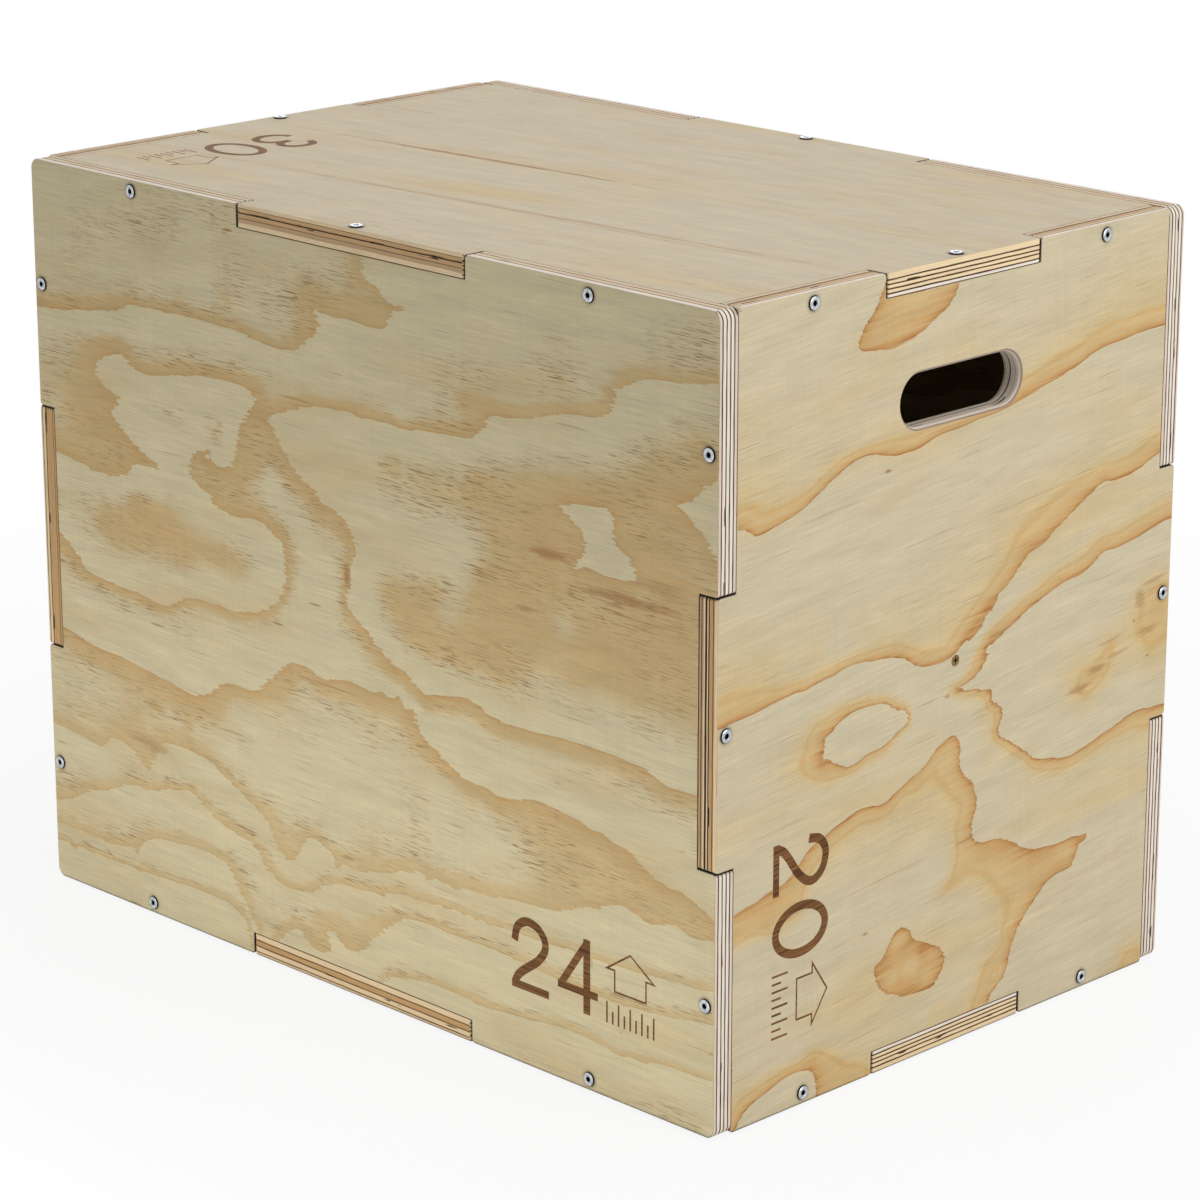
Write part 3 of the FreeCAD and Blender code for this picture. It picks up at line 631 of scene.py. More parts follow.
def fine_outer_face(bm, sheet, marks):
    """Replace the outer face by a fine triangle net whose edges follow the marks. Returns their faces."""
    bm.verts.index_update()
    depth = sheet.flat(np.array([v.co for v in bm.verts]))[:, 2]
    on_face = np.abs(depth) < FACE_TOLERANCE
    outer = [f for f in bm.faces if all(on_face[v.index] for v in f.verts)]
    chosen = set(outer)
    rim = [e for e in bm.edges if sum(f in chosen for f in e.link_faces) == 1]
    bmesh.ops.delete(bm, geom=outer, context="FACES_ONLY")
    by_cuts = {}
    for edge in rim:
        by_cuts.setdefault(int(edge.calc_length() / MM / sheet.step), []).append(edge)
    for cuts, edges in by_cuts.items():
        if cuts:
            bmesh.ops.subdivide_edges(bm, edges=edges, cuts=cuts)
    rim_loops = loops_of([e for e in bm.edges if e.is_boundary])
    vertices = [v for loop in rim_loops for v in loop]
    places = [sheet.flat(np.array([v.co for v in loop]))[:, :2] / MM for loop in rim_loops]
    loops = places + [loop for stroke_loops in marks for loop in stroke_loops]
    points = np.concatenate(loops)
    lines = []
    for loop in loops:
        start, count = len(lines), len(loop)
        lines += [(start + i, start + (i + 1) % count) for i in range(count)]
    low, high = points.min(0), points.max(0)
    grid = [np.arange(l + sheet.step / 2, h, sheet.step) for l, h in zip(low, high)]
    grid = np.stack(np.meshgrid(*grid), -1).reshape(-1, 2)
    grid = grid[inside(grid, places)]
    every = [Vector(p) for p in np.concatenate((points, grid))]
    net, _, triangles, origin, _, _ = delaunay_2d_cdt(every, lines, [], 0, NET_TOLERANCE)
    net_flat = np.array(net)
    middle = net_flat[np.array(triangles)].mean(1)
    keep = inside(middle, places)
    burnt = np.zeros(len(middle), bool)
    for stroke_loops in marks:
        burnt |= inside(middle, stroke_loops)
    made = {}

    def vertex(index):
        if index not in made:
            known = [i for i in origin[index] if i < len(vertices)]
            place = sheet.solid(np.append(net_flat[index] * MM, 0))
            made[index] = vertices[known[0]] if known else bm.verts.new(place)
        return made[index]

    mark_faces = []
    outward = Vector(-sheet.axes[2])
    for corners, use, mark in zip(triangles, keep, burnt):
        if not use:
            continue
        face = bm.faces.new([vertex(i) for i in corners])
        face.normal_update()
        if face.normal.dot(outward) < 0:
            face.normal_flip()
        if mark:
            mark_faces.append(face)
    return mark_faces


def engrave(bm, sheet, faces, slot):
    """Sink the marks a little into the face and give them their own material."""
    for face in faces:
        face.material_index = slot
    sunk = bmesh.ops.extrude_face_region(bm, geom=faces)["geom"]
    floor = [g for g in sunk if isinstance(g, bmesh.types.BMVert)]
    bmesh.ops.translate(bm, verts=floor, vec=Vector(sheet.axes[2] * MARK_DEPTH * MM))
    for vertex in floor:
        for face in vertex.link_faces:
            face.material_index = slot


def store(mesh, name, values):
    """Keep one number or vector for each vertex."""
    kind, field = ("FLOAT", "value") if values.ndim == 1 else ("FLOAT_VECTOR", "vector")
    mesh.attributes.new(name, kind, "POINT").data.foreach_set(field, np.ascontiguousarray(values).ravel())


def store_grain(mesh, name, sheet):
    """Keep on the vertices what the plywood material reads.

    place: along and across the fibres, and the depth. ring: level of the ring map. slope: how fast it
    rises along and across the fibres, and in all, per metre. cut: 0 on a face or a long edge, 1 in an
    opening, 2 at the ends of the panel.
    """
    places = sheet.flat(np.array([v.co for v in mesh.vertices]))
    store(mesh, "place", sheet.grain(places))
    spots = places[:, :2] / MM
    level = RING_LEVELS[name]
    rings = level(spots)
    store(mesh, "ring", rings)
    slope = np.column_stack((level(spots + (1, 0)) - rings, level(spots + (0, 1)) - rings)) / MM
    store(mesh, "slope", np.column_stack((slope @ sheet.turn, np.linalg.norm(slope, axis=1))))
    facing = np.abs(np.array([v.normal for v in mesh.vertices]) @ sheet.axes[0])
    from_border = np.minimum(places, sheet.size - places)[:, :2].min(1)
    store(mesh, "cut", np.where(from_border > OPENING_MARGIN, 1.0, 2.0 * facing))


def panel_piece(name, sheet, materials):
    """A panel with a fine outer face, its marks and its grain."""
    bm = bmesh.new()
    bm.from_mesh(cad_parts[sheet.node].data)
    bmesh.ops.remove_doubles(bm, verts=bm.verts, dist=WELD_DISTANCE)
    marks = []
    if name in MARKS:
        digits, layout = MARKS[name]
        place = layout(sheet)
        marks = [[place(loop) for loop in loops] for loops in height_mark(digits)]
    for face in bm.faces:
        face.material_index = 0
    mark_faces = fine_outer_face(bm, sheet, marks)
    if mark_faces:
        engrave(bm, sheet, mark_faces, 1)
    for face in bm.faces:
        face.smooth = True
    bm.normal_update()
    for edge in bm.edges:
        edge.smooth = edge.is_manifold and edge.calc_face_angle() < SHARP_ANGLE
    mesh = bpy.data.meshes.new(sheet.node + "_dressed")
    bm.to_mesh(mesh)
    bm.free()
    store_grain(mesh, name, sheet)
    piece = bpy.data.objects.new(sheet.node + "_dressed", mesh)
    bpy.context.scene.collection.objects.link(piece)
    for material in materials:
        mesh.materials.append(material)
    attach(piece, "root")
    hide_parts(sheet.node)


# Noise patterns: how often each repeats in a metre, its detail and its roughness. The repeats run
# along, across and into a panel, and along x, y and z in a screw.
PATTERNS = {
    "jag": ((16, 420, 1), 3, 0.6),
    "drift": ((22, 60, 1), 2, 0.5),
    "plain": ((1.3, 9, 1), 2, 0.5),
    "wander": ((40, 420, 1), 3, 0.6),
    "cloud": ((4, 17, 1), 3, 0.5),
    "streak": ((9, 330, 1), 3, 0.6),
    "mottle": ((16, 70, 1), 5, 0.5),
    "fibre": ((30, 1500, 1), 2, 0.5),
    "lathe": ((420, 5, 1), 1, 0.5),
    "come_and_go": ((12, 40, 1), 2, 0.5),
    "long_dash": ((34, 840, 1), 1, 0.5),
    "short_dash": ((64, 1000, 1), 1, 0.5),
    "bunch": ((7, 24, 1), 2, 0.5),
    "check": ((14, 800, 1), 1, 0.5),
    "scorch": ((14, 420, 1), 3, 0.6),
    "ply_wave": ((30, 30, 300), 2, 0.5),
    "ply_streak": ((24, 24, 2600), 2, 0.5),
    "ply_hole": ((45, 45, 420), 1, 0.5),
    "plating": ((400, 400, 400), 3, 0.5),
    "scratch": ((3000, 3000, 3000), 2, 0.5),
}
# Most noise lies in these spans.
WIDE_NOISE = (0.25, 0.75)
MID_NOISE = (0.3, 0.7)
CREVICE_SAMPLES = 4


class Net:
    """The node tree of a material or the world, with short calls for the nodes that it uses."""

    def __init__(self, owner):
        owner.use_nodes = True
        self.owner = owner
        self.nodes = owner.node_tree.nodes
        self.links = owner.node_tree.links

    def feed(self, node, inputs):
        """Set or link inputs, given by name or number."""
        for key, value in inputs.items():
            if isinstance(value, bpy.types.NodeSocket):
                self.links.new(value, node.inputs[key])
            else:
                node.inputs[key].default_value = value

    def add(self, kind, inputs, **settings):
        node = self.nodes.new("ShaderNode" + kind)
        for setting, value in settings.items():
            setattr(node, setting, value)
        self.feed(node, inputs)
        return node

    def attribute(self, name, output):
        return self.add("Attribute", {}, attribute_name=name).outputs[output]

    def coordinate(self, output):
        return self.add("TexCoord", {}).outputs[output]

    def split(self, vector):
        return self.add("SeparateXYZ", {0: vector}).outputs

    def maths(self, operation, *values):
        return self.add("Math", dict(enumerate(values)), operation=operation).outputs[0]

    def vector_maths(self, operation, *vectors, output=0):
        return self.add("VectorMath", dict(enumerate(vectors)), operation=operation).outputs[output]

    def noise(self, vector, pattern):
        """Noise from about 0.2 to 0.8 in one of the patterns."""
        repeats, detail, roughness = PATTERNS[pattern]
        place = self.vector_maths("MULTIPLY", vector, repeats)
        inputs = {"Vector": place, "Scale": 1.0, "Detail": detail, "Roughness": roughness}
        return self.add("TexNoise", inputs).outputs["Fac"]

    def pick(self, share, one, two):
        """One value where the share is 0, the other where it is 1."""
        return self.add("Mix", {0: share, 2: one, 3: two}).outputs[0]

    def spread(self, value, low, high, to_low, to_high):
        """A value moved from one range to another and kept inside it."""
        return self.add("MapRange", dict(enumerate((value, low, high, to_low, to_high)))).outputs[0]

    def sway(self, vector, pattern, span, reach):
        """Noise moved from its span to the reach on both sides of 0."""
        return self.spread(self.noise(vector, pattern), *span, -reach, reach)

    def ramp(self, value, stops):
        """A ramp of greys or colours through (place, tone) stops."""
        node = self.add("ValToRGB", {0: value})
        elements = node.color_ramp.elements
        while len(elements) < len(stops):
            elements.new(1.0)
        for element, (place, tone) in zip(elements, stops):
            element.position = place
            element.color = tone if isinstance(tone, tuple) else (tone, tone, tone, 1.0)
        return node.outputs[0]

    def patches(self, vector, pattern, *stops):
        """Noise seen through a ramp."""
        return self.ramp(self.noise(vector, pattern), stops)

    def blend(self, share, one, two, kind="MIX"):
        return self.add("Mix", {0: share, 6: one, 7: two}, data_type="RGBA", blend_type=kind).outputs[2]

    def crevice(self, reach, dark, clear):
        """How much painted shade from ambient occlusion a place gets: 1 deep in a joint or a recess, 0 on
        an open surface.
        """
        node = self.add("AmbientOcclusion", {"Distance": reach}, samples=CREVICE_SAMPLES)
        return self.spread(node.outputs["AO"], dark, clear, 1.0, 0.0)

    def bump(self, height, strength, distance):
        return self.add("Bump", {"Height": height, "Strength": strength, "Distance": distance}).outputs[0]


# Wood tones, in screen values.
EARLYWOOD = linear(209, 196, 165)
WARM_EARLYWOOD = linear(221, 208, 170)
PALE_EARLYWOOD = linear(210, 196, 170)
GOLD = linear(212, 187, 138)
AMBER = linear(204, 164, 108)
RUST = linear(174, 118, 64)
FLECK = linear(130, 78, 30)
KNOT = linear(150, 92, 42)
RING_LINE = linear(158, 108, 58)
WHITE_PLY = linear(244, 232, 216)
PINK_PLY = linear(232, 212, 196)
CREAM_PLY = linear(246, 220, 178)
PALE_PLY = linear(224, 202, 172)
TAN_PLY = linear(204, 172, 134)
GOLDEN_PLY = linear(208, 168, 118)
WARM_PLY = linear(214, 176, 130)
GLUE_LINE = linear(66, 42, 24)
SOFT_LINE = linear(118, 84, 54)
VOID = linear(30, 17, 9)
JOINT_SHADE = linear(34, 22, 12)
BURN_LIGHT = linear(146, 104, 62)
BURN_DARK = linear(84, 52, 27)


def ply_stack(*layers, blur=0.01):
    """Ramp through the thickness, outer face first, from layers as (share of the thickness, tone)."""
    stops = []
    depth = 0.0
    for share, tone in layers:
        stops += [(depth + blur, tone), (depth + share - blur, tone)]
        depth += share
    return stops


def glued(glue, width, *plies):
    """Ramp through plies as (share of the thickness, tone), with a line of glue between each two."""
    layers = [plies[0]]
    for ply in plies[1:]:
        layers += [(width, glue), ply]
    return ply_stack(*layers)


PINK_ENDS = glued(GLUE_LINE, 0.065, (0.13, PINK_PLY), (0.155, WHITE_PLY), (0.15, WHITE_PLY),
                  (0.145, WHITE_PLY), (0.16, PINK_PLY))
CREAM_ENDS = glued(GLUE_LINE, 0.065, (0.24, CREAM_PLY), (0.13, CREAM_PLY), (0.115, CREAM_PLY),
                   (0.125, CREAM_PLY), (0.13, WHITE_PLY))
BROWN_ENDS = ply_stack((0.16, CREAM_PLY), (0.04, GOLDEN_PLY), (0.05, SOFT_LINE), (0.17, GOLDEN_PLY),
                       (0.07, GLUE_LINE), (0.06, CREAM_PLY), (0.11, GLUE_LINE), (0.07, CREAM_PLY),
                       (0.08, TAN_PLY), (0.07, SOFT_LINE), (0.08, TAN_PLY), (0.04, GLUE_LINE))
GOLD_ENDS = ply_stack((0.12, CREAM_PLY), (0.04, GLUE_LINE), (0.16, CREAM_PLY), (0.05, GLUE_LINE),
                      (0.48, GOLDEN_PLY), (0.04, SOFT_LINE), (0.11, GOLDEN_PLY))
SLOT_WALL = ply_stack((0.30, WHITE_PLY), (0.04, TAN_PLY), (0.20, WHITE_PLY), (0.07, SOFT_LINE),
                      (0.19, WHITE_PLY), (0.04, TAN_PLY), (0.16, WHITE_PLY))
PALE_SIDES = glued(SOFT_LINE, 0.08, (0.30, WHITE_PLY), (0.26, PALE_PLY), (0.28, PALE_PLY))
TAN_SIDES = ply_stack((0.16, WHITE_PLY), (0.05, SOFT_LINE), (0.14, PALE_PLY), (0.28, TAN_PLY),
                      (0.13, SOFT_LINE), (0.24, PALE_PLY))
BROWN_SIDES = ply_stack((0.14, CREAM_PLY), (0.03, SOFT_LINE), (0.16, WARM_PLY), (0.06, GLUE_LINE),
                        (0.18, WARM_PLY), (0.03, SOFT_LINE), (0.18, TAN_PLY), (0.22, CREAM_PLY))
GOLD_SIDES = glued(SOFT_LINE, 0.06, (0.14, CREAM_PLY), (0.20, CREAM_PLY), (0.22, GOLDEN_PLY),
                   (0.26, CREAM_PLY))
VENEER_DEPTH = 0.12 * MM
VENEER_BLUR = 0.1 * MM
# Depths of the painted shade line along the rounded arris, just under the face, at an edge and at an
# opening.
RIM_DEPTH = 0.35 * MM
OPENING_RIM_DEPTH = 1.5 * MM
DRIFT_REACH = 1.5 * MM
PLY_WAVE_REACH = 0.2 * MM
# Depths over which the outer figure gives way to the plain one of the inner face, and its rings.
MIDDLE_DEPTH = (0.45 * PLY, 0.55 * PLY)
PLAIN_RINGS = 9.0
# Values of "cut" over which a side turns into an opening, and an opening into an end.
OPENING_CUT = (0.4, 0.7)
END_CUT = (1.2, 1.7)
END_RIM_CUT = (1.1, 1.3)
SCORCH_SPAN = (0.3, 0.66)
SCORCH_ON_LATEWOOD = 0.4
# Painted shade in the joints and around the screw heads: reach, and the occlusion span over which it fades.
WOOD_CREVICE = (4.0 * MM, 0.7, 0.98)
WOOD_ROUGHNESS = (0.62, 0.80)
WOOD_SPECULAR = 0.15
WOOD_BUMP = (0.25, 0.15 * MM)

# How dark the wood is across a ring, from the pale start of its growth to the dark end.
STRONG_RINGS = (
    (0.0, 0.0), (0.3, 0.0), (0.5, 0.14), (0.68, 0.32), (0.75, 0.6), (0.81, 0.46), (0.9, 0.6),
    (0.96, 0.76), (1.0, 0.94),
)
FLAT_RINGS = ((0.0, 0.0), (0.3, 0.0), (0.5, 0.17), (0.66, 0.42), (0.9, 0.51), (0.97, 0.6), (1.0, 0.6))
THIN_RINGS = ((0.0, 0.0), (0.6, 0.0), (0.9, 0.1), (1.0, 0.2))


@dataclass
class PanelLook:
    """How one panel's veneer and edges look.

    early is the tone of the pale wood, rings how dark it turns across a ring, and strength how that
    changes down the panel. Ring edges jump by ragged along the fibres and carry a line of some
    darkness and width, in millimetres. flecks is how strong the dark dashes are. sides, ends and
    opening are ramps through the plies.
    """

    early: tuple
    rings: tuple
    ragged: float
    line: float
    line_width: float
    flecks: float
    sides: list
    ends: list
    opening: list
    strength: tuple = ((0.0, 1.0), (1.0, 1.0))


PANEL_LOOKS = {
    "front": PanelLook(WARM_EARLYWOOD, FLAT_RINGS, 6.0, 0.12, 1.6, 0.8, PALE_SIDES, PINK_ENDS, PINK_ENDS,
                       strength=((0.0, 0.75), (0.2, 1.0), (0.68, 1.0), (0.8, 0.7))),
    "back": PanelLook(WARM_EARLYWOOD, FLAT_RINGS, 6.0, 0.12, 1.6, 0.6, PALE_SIDES, PINK_ENDS, PINK_ENDS),
    "right": PanelLook(EARLYWOOD, STRONG_RINGS, 2.0, 0.5, 1.8, 0.15, TAN_SIDES, BROWN_ENDS, SLOT_WALL),
    "left": PanelLook(EARLYWOOD, STRONG_RINGS, 2.5, 0.5, 1.8, 0.2, TAN_SIDES, GOLD_ENDS, SLOT_WALL),
    "top": PanelLook(PALE_EARLYWOOD, THIN_RINGS, 3.0, 0.1, 2.4, 0.25, BROWN_SIDES, CREAM_ENDS, CREAM_ENDS),
    "bottom": PanelLook(PALE_EARLYWOOD, FLAT_RINGS, 5.0, 0.2, 1.6, 0.5, GOLD_SIDES, CREAM_ENDS, CREAM_ENDS),
    "brace": PanelLook(PALE_EARLYWOOD, FLAT_RINGS, 4.0, 0.2, 1.6, 0.4, PALE_SIDES, PINK_ENDS, PINK_ENDS),
}


def ring_share(net, place, look):
    """How far a place has grown through its ring, 0 to 1, and how far off the ring's dark edge lies."""
    along, across, steep = net.split(net.attribute("slope", "Vector"))
    level = net.attribute("ring", "Fac")
    jump = net.sway(place, "jag", WIDE_NOISE, look.ragged * MM)
    level = net.maths("MULTIPLY_ADD", along, jump, level)
    drift = net.sway(place, "drift", WIDE_NOISE, DRIFT_REACH)
    level = net.maths("MULTIPLY_ADD", across, drift, level)
    # The inner face of a panel has a plain figure of its own.
    hidden = net.spread(net.split(place)[2], *MIDDLE_DEPTH, 0.0, 1.0)
    plain = net.spread(net.noise(place, "plain"), 0.0, 1.0, 0.0, PLAIN_RINGS)
    share = net.maths("FRACT", net.pick(hidden, level, plain))
    edge_distance = net.maths("DIVIDE", net.maths("SUBTRACT", 1.0, share), net.maths("MAXIMUM", steep, 1.0))
    return share, edge_distance


def specks(net, place, sheet, name):
    """How dark the pin knots and thin streaks of a face are, and 0 elsewhere."""
    wander = net.sway(place, "wander", MID_NOISE, SPECK_WANDER)
    most = 0.0
    for a, b, length, width, dark in SPECKS.get(name, ()):
        middle = sheet.grain(np.array(((a, b, 0.0),)) * MM)[0]
        away = net.vector_maths("SUBTRACT", place, tuple(middle))
        away = net.vector_maths("MULTIPLY", away, (1 / (length * MM), 1 / (width * MM), SPECK_DEPTH_RATE))
        away = net.maths("ADD", net.vector_maths("LENGTH", away, output=1), wander)
        most = net.maths("MAXIMUM", most, net.spread(away, *SPECK_FADE, dark, 0.0))
    return most


def veneer(net, place, sheet, name, look):
    """Colour of a face veneer, with its latewood share, its fibres and its flecks."""
    share, edge_distance = ring_share(net, place, look)
    down = net.maths("DIVIDE", net.split(place)[1], sheet.size[1])
    late = net.maths("MULTIPLY", net.ramp(share, look.rings), net.ramp(down, look.strength))
    cloud = net.patches(place, "cloud", (0.5, 0.0), (0.75, 0.3))
    late = net.maths("MAXIMUM", late, cloud)
    streak = net.noise(place, "streak")
    late = net.maths("MULTIPLY", late, net.spread(streak, *WIDE_NOISE, 0.68, 1.22))
    colour = net.ramp(late, ((0.0, look.early), (0.38, GOLD), (0.7, AMBER), (1.0, RUST)))
    mottle = net.noise(place, "mottle")
    fibre = net.noise(place, "fibre")
    lathe = net.noise(place, "lathe")
    shades = ((streak, 0.95, 1.04), (mottle, 0.935, 1.05), (fibre, 0.91, 1.07), (lathe, 0.982, 1.014))
    for pattern, low, high in shades:
        colour = net.blend(1.0, colour, net.ramp(pattern, ((0.3, low), (0.7, high))), "MULTIPLY")
    come_and_go = net.patches(place, "come_and_go", (0.36, 0.1), (0.6, 1.0))
    width = look.line_width * MM
    line = net.spread(edge_distance, 0.3 * width, width, look.line, 0.0)
    colour = net.blend(net.maths("MULTIPLY", line, come_and_go), colour, RING_LINE)
    long_dash = net.patches(place, "long_dash", (0.60, 0.0), (0.68, 0.9))
    short_dash = net.patches(place, "short_dash", (0.60, 0.0), (0.68, 1.0))
    bunch = net.patches(place, "bunch", (0.38, 0.1), (0.58, 1.0))
    dash = net.maths("MULTIPLY", net.maths("MAXIMUM", long_dash, short_dash), bunch)
    where = net.ramp(share, ((0.22, 0.02), (0.38, 0.8), (0.62, 1.0), (0.8, 0.55), (0.95, 0.4)))
    dash = net.maths("MULTIPLY", dash, net.maths("MULTIPLY", where, look.flecks))
    check = net.patches(place, "check", (0.70, 0.0), (0.76, 0.4))
    colour = net.blend(specks(net, place, sheet, name), colour, KNOT)
    dark = net.maths("MAXIMUM", dash, check)
    return net.blend(dark, colour, FLECK), late, fibre, dark


def plies(net, place, look):
    """Colour of the plies where the edge of a panel shows."""
    wave = net.sway(place, "ply_wave", MID_NOISE, PLY_WAVE_REACH)
    depth = net.split(place)[2]
    layer = net.maths("DIVIDE", net.maths("ADD", depth, wave), PLY)
    cut = net.attribute("cut", "Fac")
    colour = net.ramp(layer, look.sides)
    colour = net.blend(net.spread(cut, *OPENING_CUT, 0.0, 1.0), colour, net.ramp(layer, look.opening))
    colour = net.blend(net.spread(cut, *END_CUT, 0.0, 1.0), colour, net.ramp(layer, look.ends))
    # Painted shade: a dark line along the rounded arris just under the face, wider at the rim of an
    # opening.
    rim = net.spread(cut, *OPENING_CUT, RIM_DEPTH, OPENING_RIM_DEPTH)
    rim = net.pick(net.spread(cut, *END_RIM_CUT, 0.0, 1.0), rim, RIM_DEPTH)
    arris_shade = net.spread(depth, net.maths("MULTIPLY", rim, 0.5), rim, 0.75, 0.0)
    colour = net.blend(arris_shade, colour, SOFT_LINE)
    streak = net.patches(place, "ply_streak", (0.3, 0.8), (0.7, 1.07))
    colour = net.blend(1.0, colour, streak, "MULTIPLY")
    hole = net.patches(place, "ply_hole", (0.63, 0.0), (0.66, 1.0))
    band = net.ramp(layer, ((0.28, 0.0), (0.33, 1.0), (0.42, 1.0), (0.48, 0.0)))
    return net.blend(net.maths("MULTIPLY", hole, band), colour, VOID)


def plywood(name, sheet, burnt=False):
    """Pine plywood: figured veneer on the faces and plies on the edges, or a burnt mark."""
    look = PANEL_LOOKS[name]
    net = Net(bpy.data.materials.new(name + ("_burnt_mark" if burnt else "_pine_plywood")))
    place = net.attribute("place", "Vector")
    colour, late, fibre, dark = veneer(net, place, sheet, name, look)
    if burnt:
        scorch = net.spread(net.noise(place, "scorch"), *SCORCH_SPAN, 0.0, 1.0)
        char = net.maths("MULTIPLY_ADD", late, SCORCH_ON_LATEWOOD, scorch)
        colour = net.blend(char, BURN_LIGHT, BURN_DARK)
    else:
        depth = net.split(place)[2]
        inner = PLY - VENEER_DEPTH
        under = net.spread(depth, VENEER_DEPTH, VENEER_DEPTH + VENEER_BLUR, 0.0, 1.0)
        before = net.spread(depth, inner - VENEER_BLUR, inner, 1.0, 0.0)
        colour = net.blend(net.maths("MULTIPLY", under, before), colour, plies(net, place, look))
        # Painted shade from ambient occlusion in the joints and around the screw heads.
        colour = net.blend(net.crevice(*WOOD_CREVICE), colour, JOINT_SHADE)
    net.feed(net.nodes["Principled BSDF"], {
        "Base Color": colour,
        "Roughness": net.spread(fibre, *MID_NOISE, *WOOD_ROUGHNESS),
        "Specular IOR Level": WOOD_SPECULAR,
        "Normal": net.bump(net.maths("SUBTRACT", fibre, dark), *WOOD_BUMP),
    })
    return net.owner


def metal(name, tone, worn, flank_shade, roughness, axis):
    """A turned and plated screw along an axis: scratched, with painted shade on its flank and in its
    recesses.
    """
    net = Net(bpy.data.materials.new(name))
    place = net.coordinate("Object")
    patch = net.noise(place, "plating")
    colour = net.blend(net.ramp(patch, ((0.4, 0.0), (0.65, 1.0))), tone, worn)
    facing = net.vector_maths("DOT_PRODUCT", net.coordinate("Normal"), axis, output=1)
    facing = net.maths("ABSOLUTE", facing)
    # Painted shade on the flank of the head, the faces that turn away from the screw's axis.
    colour = net.blend(net.spread(facing, *FLANK_SHADE_FACING, 1.0, 0.0), colour, flank_shade)
    # Painted shade in the hex socket and where the head meets the panel, from ambient occlusion.
    colour = net.blend(net.crevice(*METAL_CREVICE), colour, RECESS_SHADE)
    net.feed(net.nodes["Principled BSDF"], {
        "Base Color": colour,
        "Roughness": net.spread(patch, *MID_NOISE, roughness, roughness + WEAR_ROUGHNESS),
        "Metallic": 1.0,
        "Normal": net.bump(net.noise(place, "scratch"), *SCRATCH_BUMP),
    })
    return net.owner


def dress_panels():
    for name, sheet in SHEETS.items():
        materials = [plywood(name, sheet)]
        if name in MARKS:
            materials.append(plywood(name, sheet, burnt=True))
        panel_piece(name, sheet, materials)


ZINC = linear(198, 202, 206)
WORN_ZINC = linear(158, 162, 166)
# Painted shade on the flank of a zinc head.
ZINC_FLANK_SHADE = linear(70, 68, 66)
BRONZE = linear(150, 116, 74)
WORN_BRONZE = linear(110, 84, 54)
# Painted shade on the flank of a bronze head.
BRONZE_FLANK_SHADE = linear(64, 48, 32)
# Tone of the painted shade in a screw's socket and recesses.
RECESS_SHADE = linear(20, 20, 22)
# Facing to the axis over which the painted flank shade fades out.
FLANK_SHADE_FACING = (0.3, 0.7)
# Reach and occlusion span of the painted shade in a screw's recesses.
METAL_CREVICE = (2.0 * MM, 0.5, 0.92)
SCRATCH_BUMP = (0.15, 0.05 * MM)
ZINC_ROUGHNESS = 0.30
BRONZE_ROUGHNESS = 0.34
WEAR_ROUGHNESS = 0.18
SCREW_AXES = {"left": X, "right": X, "front": Y, "back": Y, "top": Z, "bottom": Z}


def dress_screws():
    zinc = {}
    for panel, axis in SCREW_AXES.items():
        name = panel + "_zinc_plate"
        zinc[panel] = metal(name, ZINC, WORN_ZINC, ZINC_FLANK_SHADE, ZINC_ROUGHNESS, tuple(axis))
    bronze = metal("bronze_plate", BRONZE, WORN_BRONZE, BRONZE_FLANK_SHADE, BRONZE_ROUGHNESS, tuple(X))
    for node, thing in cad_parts.items():
        if node.endswith(("screw", "screws")):
            thing.data.materials.clear()
            thing.data.materials.append(bronze if "brace" in node else zinc[node.split("_")[0]])


# Studio, in metres.
SKY_LEVEL = 0.315
FLOOR_LEVEL = CAD_BOX[0][2]
FLOOR_HALF = 12.0
FLOOR_FADE = (0.5, 1.5)
FLOOR_GLOW = 0.88
FLOOR_PAINT = (0.85, 0.85, 0.85, 1.0)
WHITE = (1.0, 1.0, 1.0, 1.0)
CAMERA_PLACE = Vector((2.3171, -2.2832, 1.2637))
CAMERA_AIM = Vector((0.0042, 0.0042, 0.2686))
CAMERA_LENS = 127.47
CAMERA_SENSOR = 36.0
# Lamps: place, aim, width and height, power in watts.
LAMPS = {
    "key": ((3.2, 0.6, 1.6), (0.0, 0.0, 0.3), (2.2, 2.2), 53),
    "overhead": ((0.3, -0.3, 3.4), (0.0, 0.0, 0.0), (2.4, 2.4), 32),
    "back_fill": ((-2.6, 2.4, 1.0), (0.0, 0.0, 0.3), (2.2, 1.6), 34),
    "low_fill": ((0.0, -0.76, 0.05), (0.0, -0.25, 0.02), (1.3, 0.1), 1.5),
}


def seen_directly(net):
    """1 for rays from the camera or off a mirror, 0 for rays that light the object."""
    rays = net.add("LightPath", {}).outputs
    most = rays["Is Camera Ray"]
    for other in ("Is Glossy Ray", "Is Transmission Ray"):
        most = net.maths("MAXIMUM", most, rays[other])
    return most


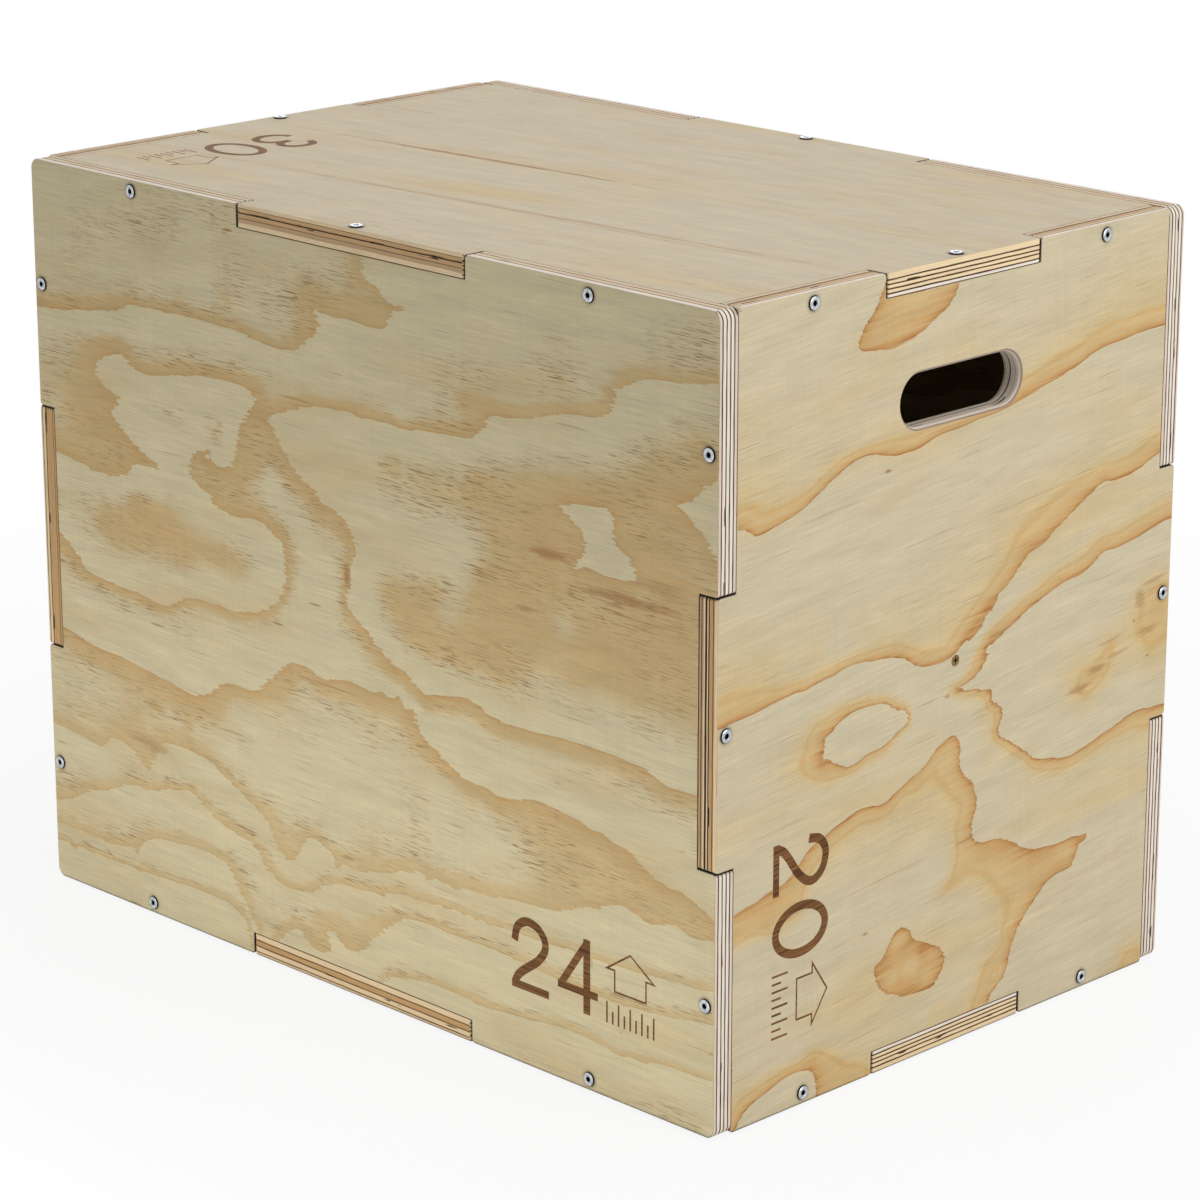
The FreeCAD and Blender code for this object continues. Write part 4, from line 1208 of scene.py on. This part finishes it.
def studio_floor():
    """A pale floor that turns white away from the object and keeps its shadow."""
    mesh = bpy.data.meshes.new("studio_floor")
    h = FLOOR_HALF
    corners = [(x, y, FLOOR_LEVEL) for x, y in ((-h, -h), (h, -h), (h, h), (-h, h))]
    mesh.from_pydata(corners, [], [(0, 1, 2, 3)])
    floor = bpy.data.objects.new("studio_floor", mesh)
    bpy.context.scene.collection.objects.link(floor)
    net = Net(bpy.data.materials.new("studio_white"))
    net.nodes.clear()
    away = net.vector_maths("LENGTH", net.coordinate("Object"), output=1)
    white = net.spread(away, *FLOOR_FADE, FLOOR_GLOW, 1.0)
    share = net.maths("MULTIPLY", seen_directly(net), white)
    paint = net.add("BsdfDiffuse", {"Color": FLOOR_PAINT}).outputs[0]
    glow = net.add("Emission", {"Color": WHITE, "Strength": 1.0}).outputs[0]
    mix = net.add("MixShader", {0: share, 1: paint, 2: glow}).outputs[0]
    net.add("OutputMaterial", {0: mix})
    mesh.materials.append(net.owner)


def studio_world():
    net = Net(bpy.data.worlds.new("studio"))
    strength = net.spread(seen_directly(net), 0.0, 1.0, SKY_LEVEL, 1.0)
    net.feed(net.nodes["Background"], {"Color": WHITE, "Strength": strength})
    bpy.context.scene.world = net.owner


def softbox(name, place, aim, size, power):
    light = bpy.data.lights.new(name, "AREA")
    light.shape = "RECTANGLE"
    light.size, light.size_y = size
    light.energy = power
    lamp = bpy.data.objects.new(name, light)
    lamp.location = place
    lamp.visible_camera = False
    lamp.rotation_euler = (Vector(aim) - Vector(place)).to_track_quat("-Z", "Y").to_euler()
    bpy.context.scene.collection.objects.link(lamp)


def studio_camera():
    data = bpy.data.cameras.new("camera")
    data.lens = CAMERA_LENS
    data.sensor_width = CAMERA_SENSOR
    camera = bpy.data.objects.new("camera", data)
    camera.location = CAMERA_PLACE
    camera.rotation_euler = (CAMERA_AIM - CAMERA_PLACE).to_track_quat("-Z", "Y").to_euler()
    bpy.context.scene.collection.objects.link(camera)
    bpy.context.scene.camera = camera


dress_panels()
dress_screws()
studio_floor()
studio_world()
for lamp_name, lamp_settings in LAMPS.items():
    softbox(lamp_name, *lamp_settings)
studio_camera()
bpy.context.scene.view_settings.view_transform = "Standard"
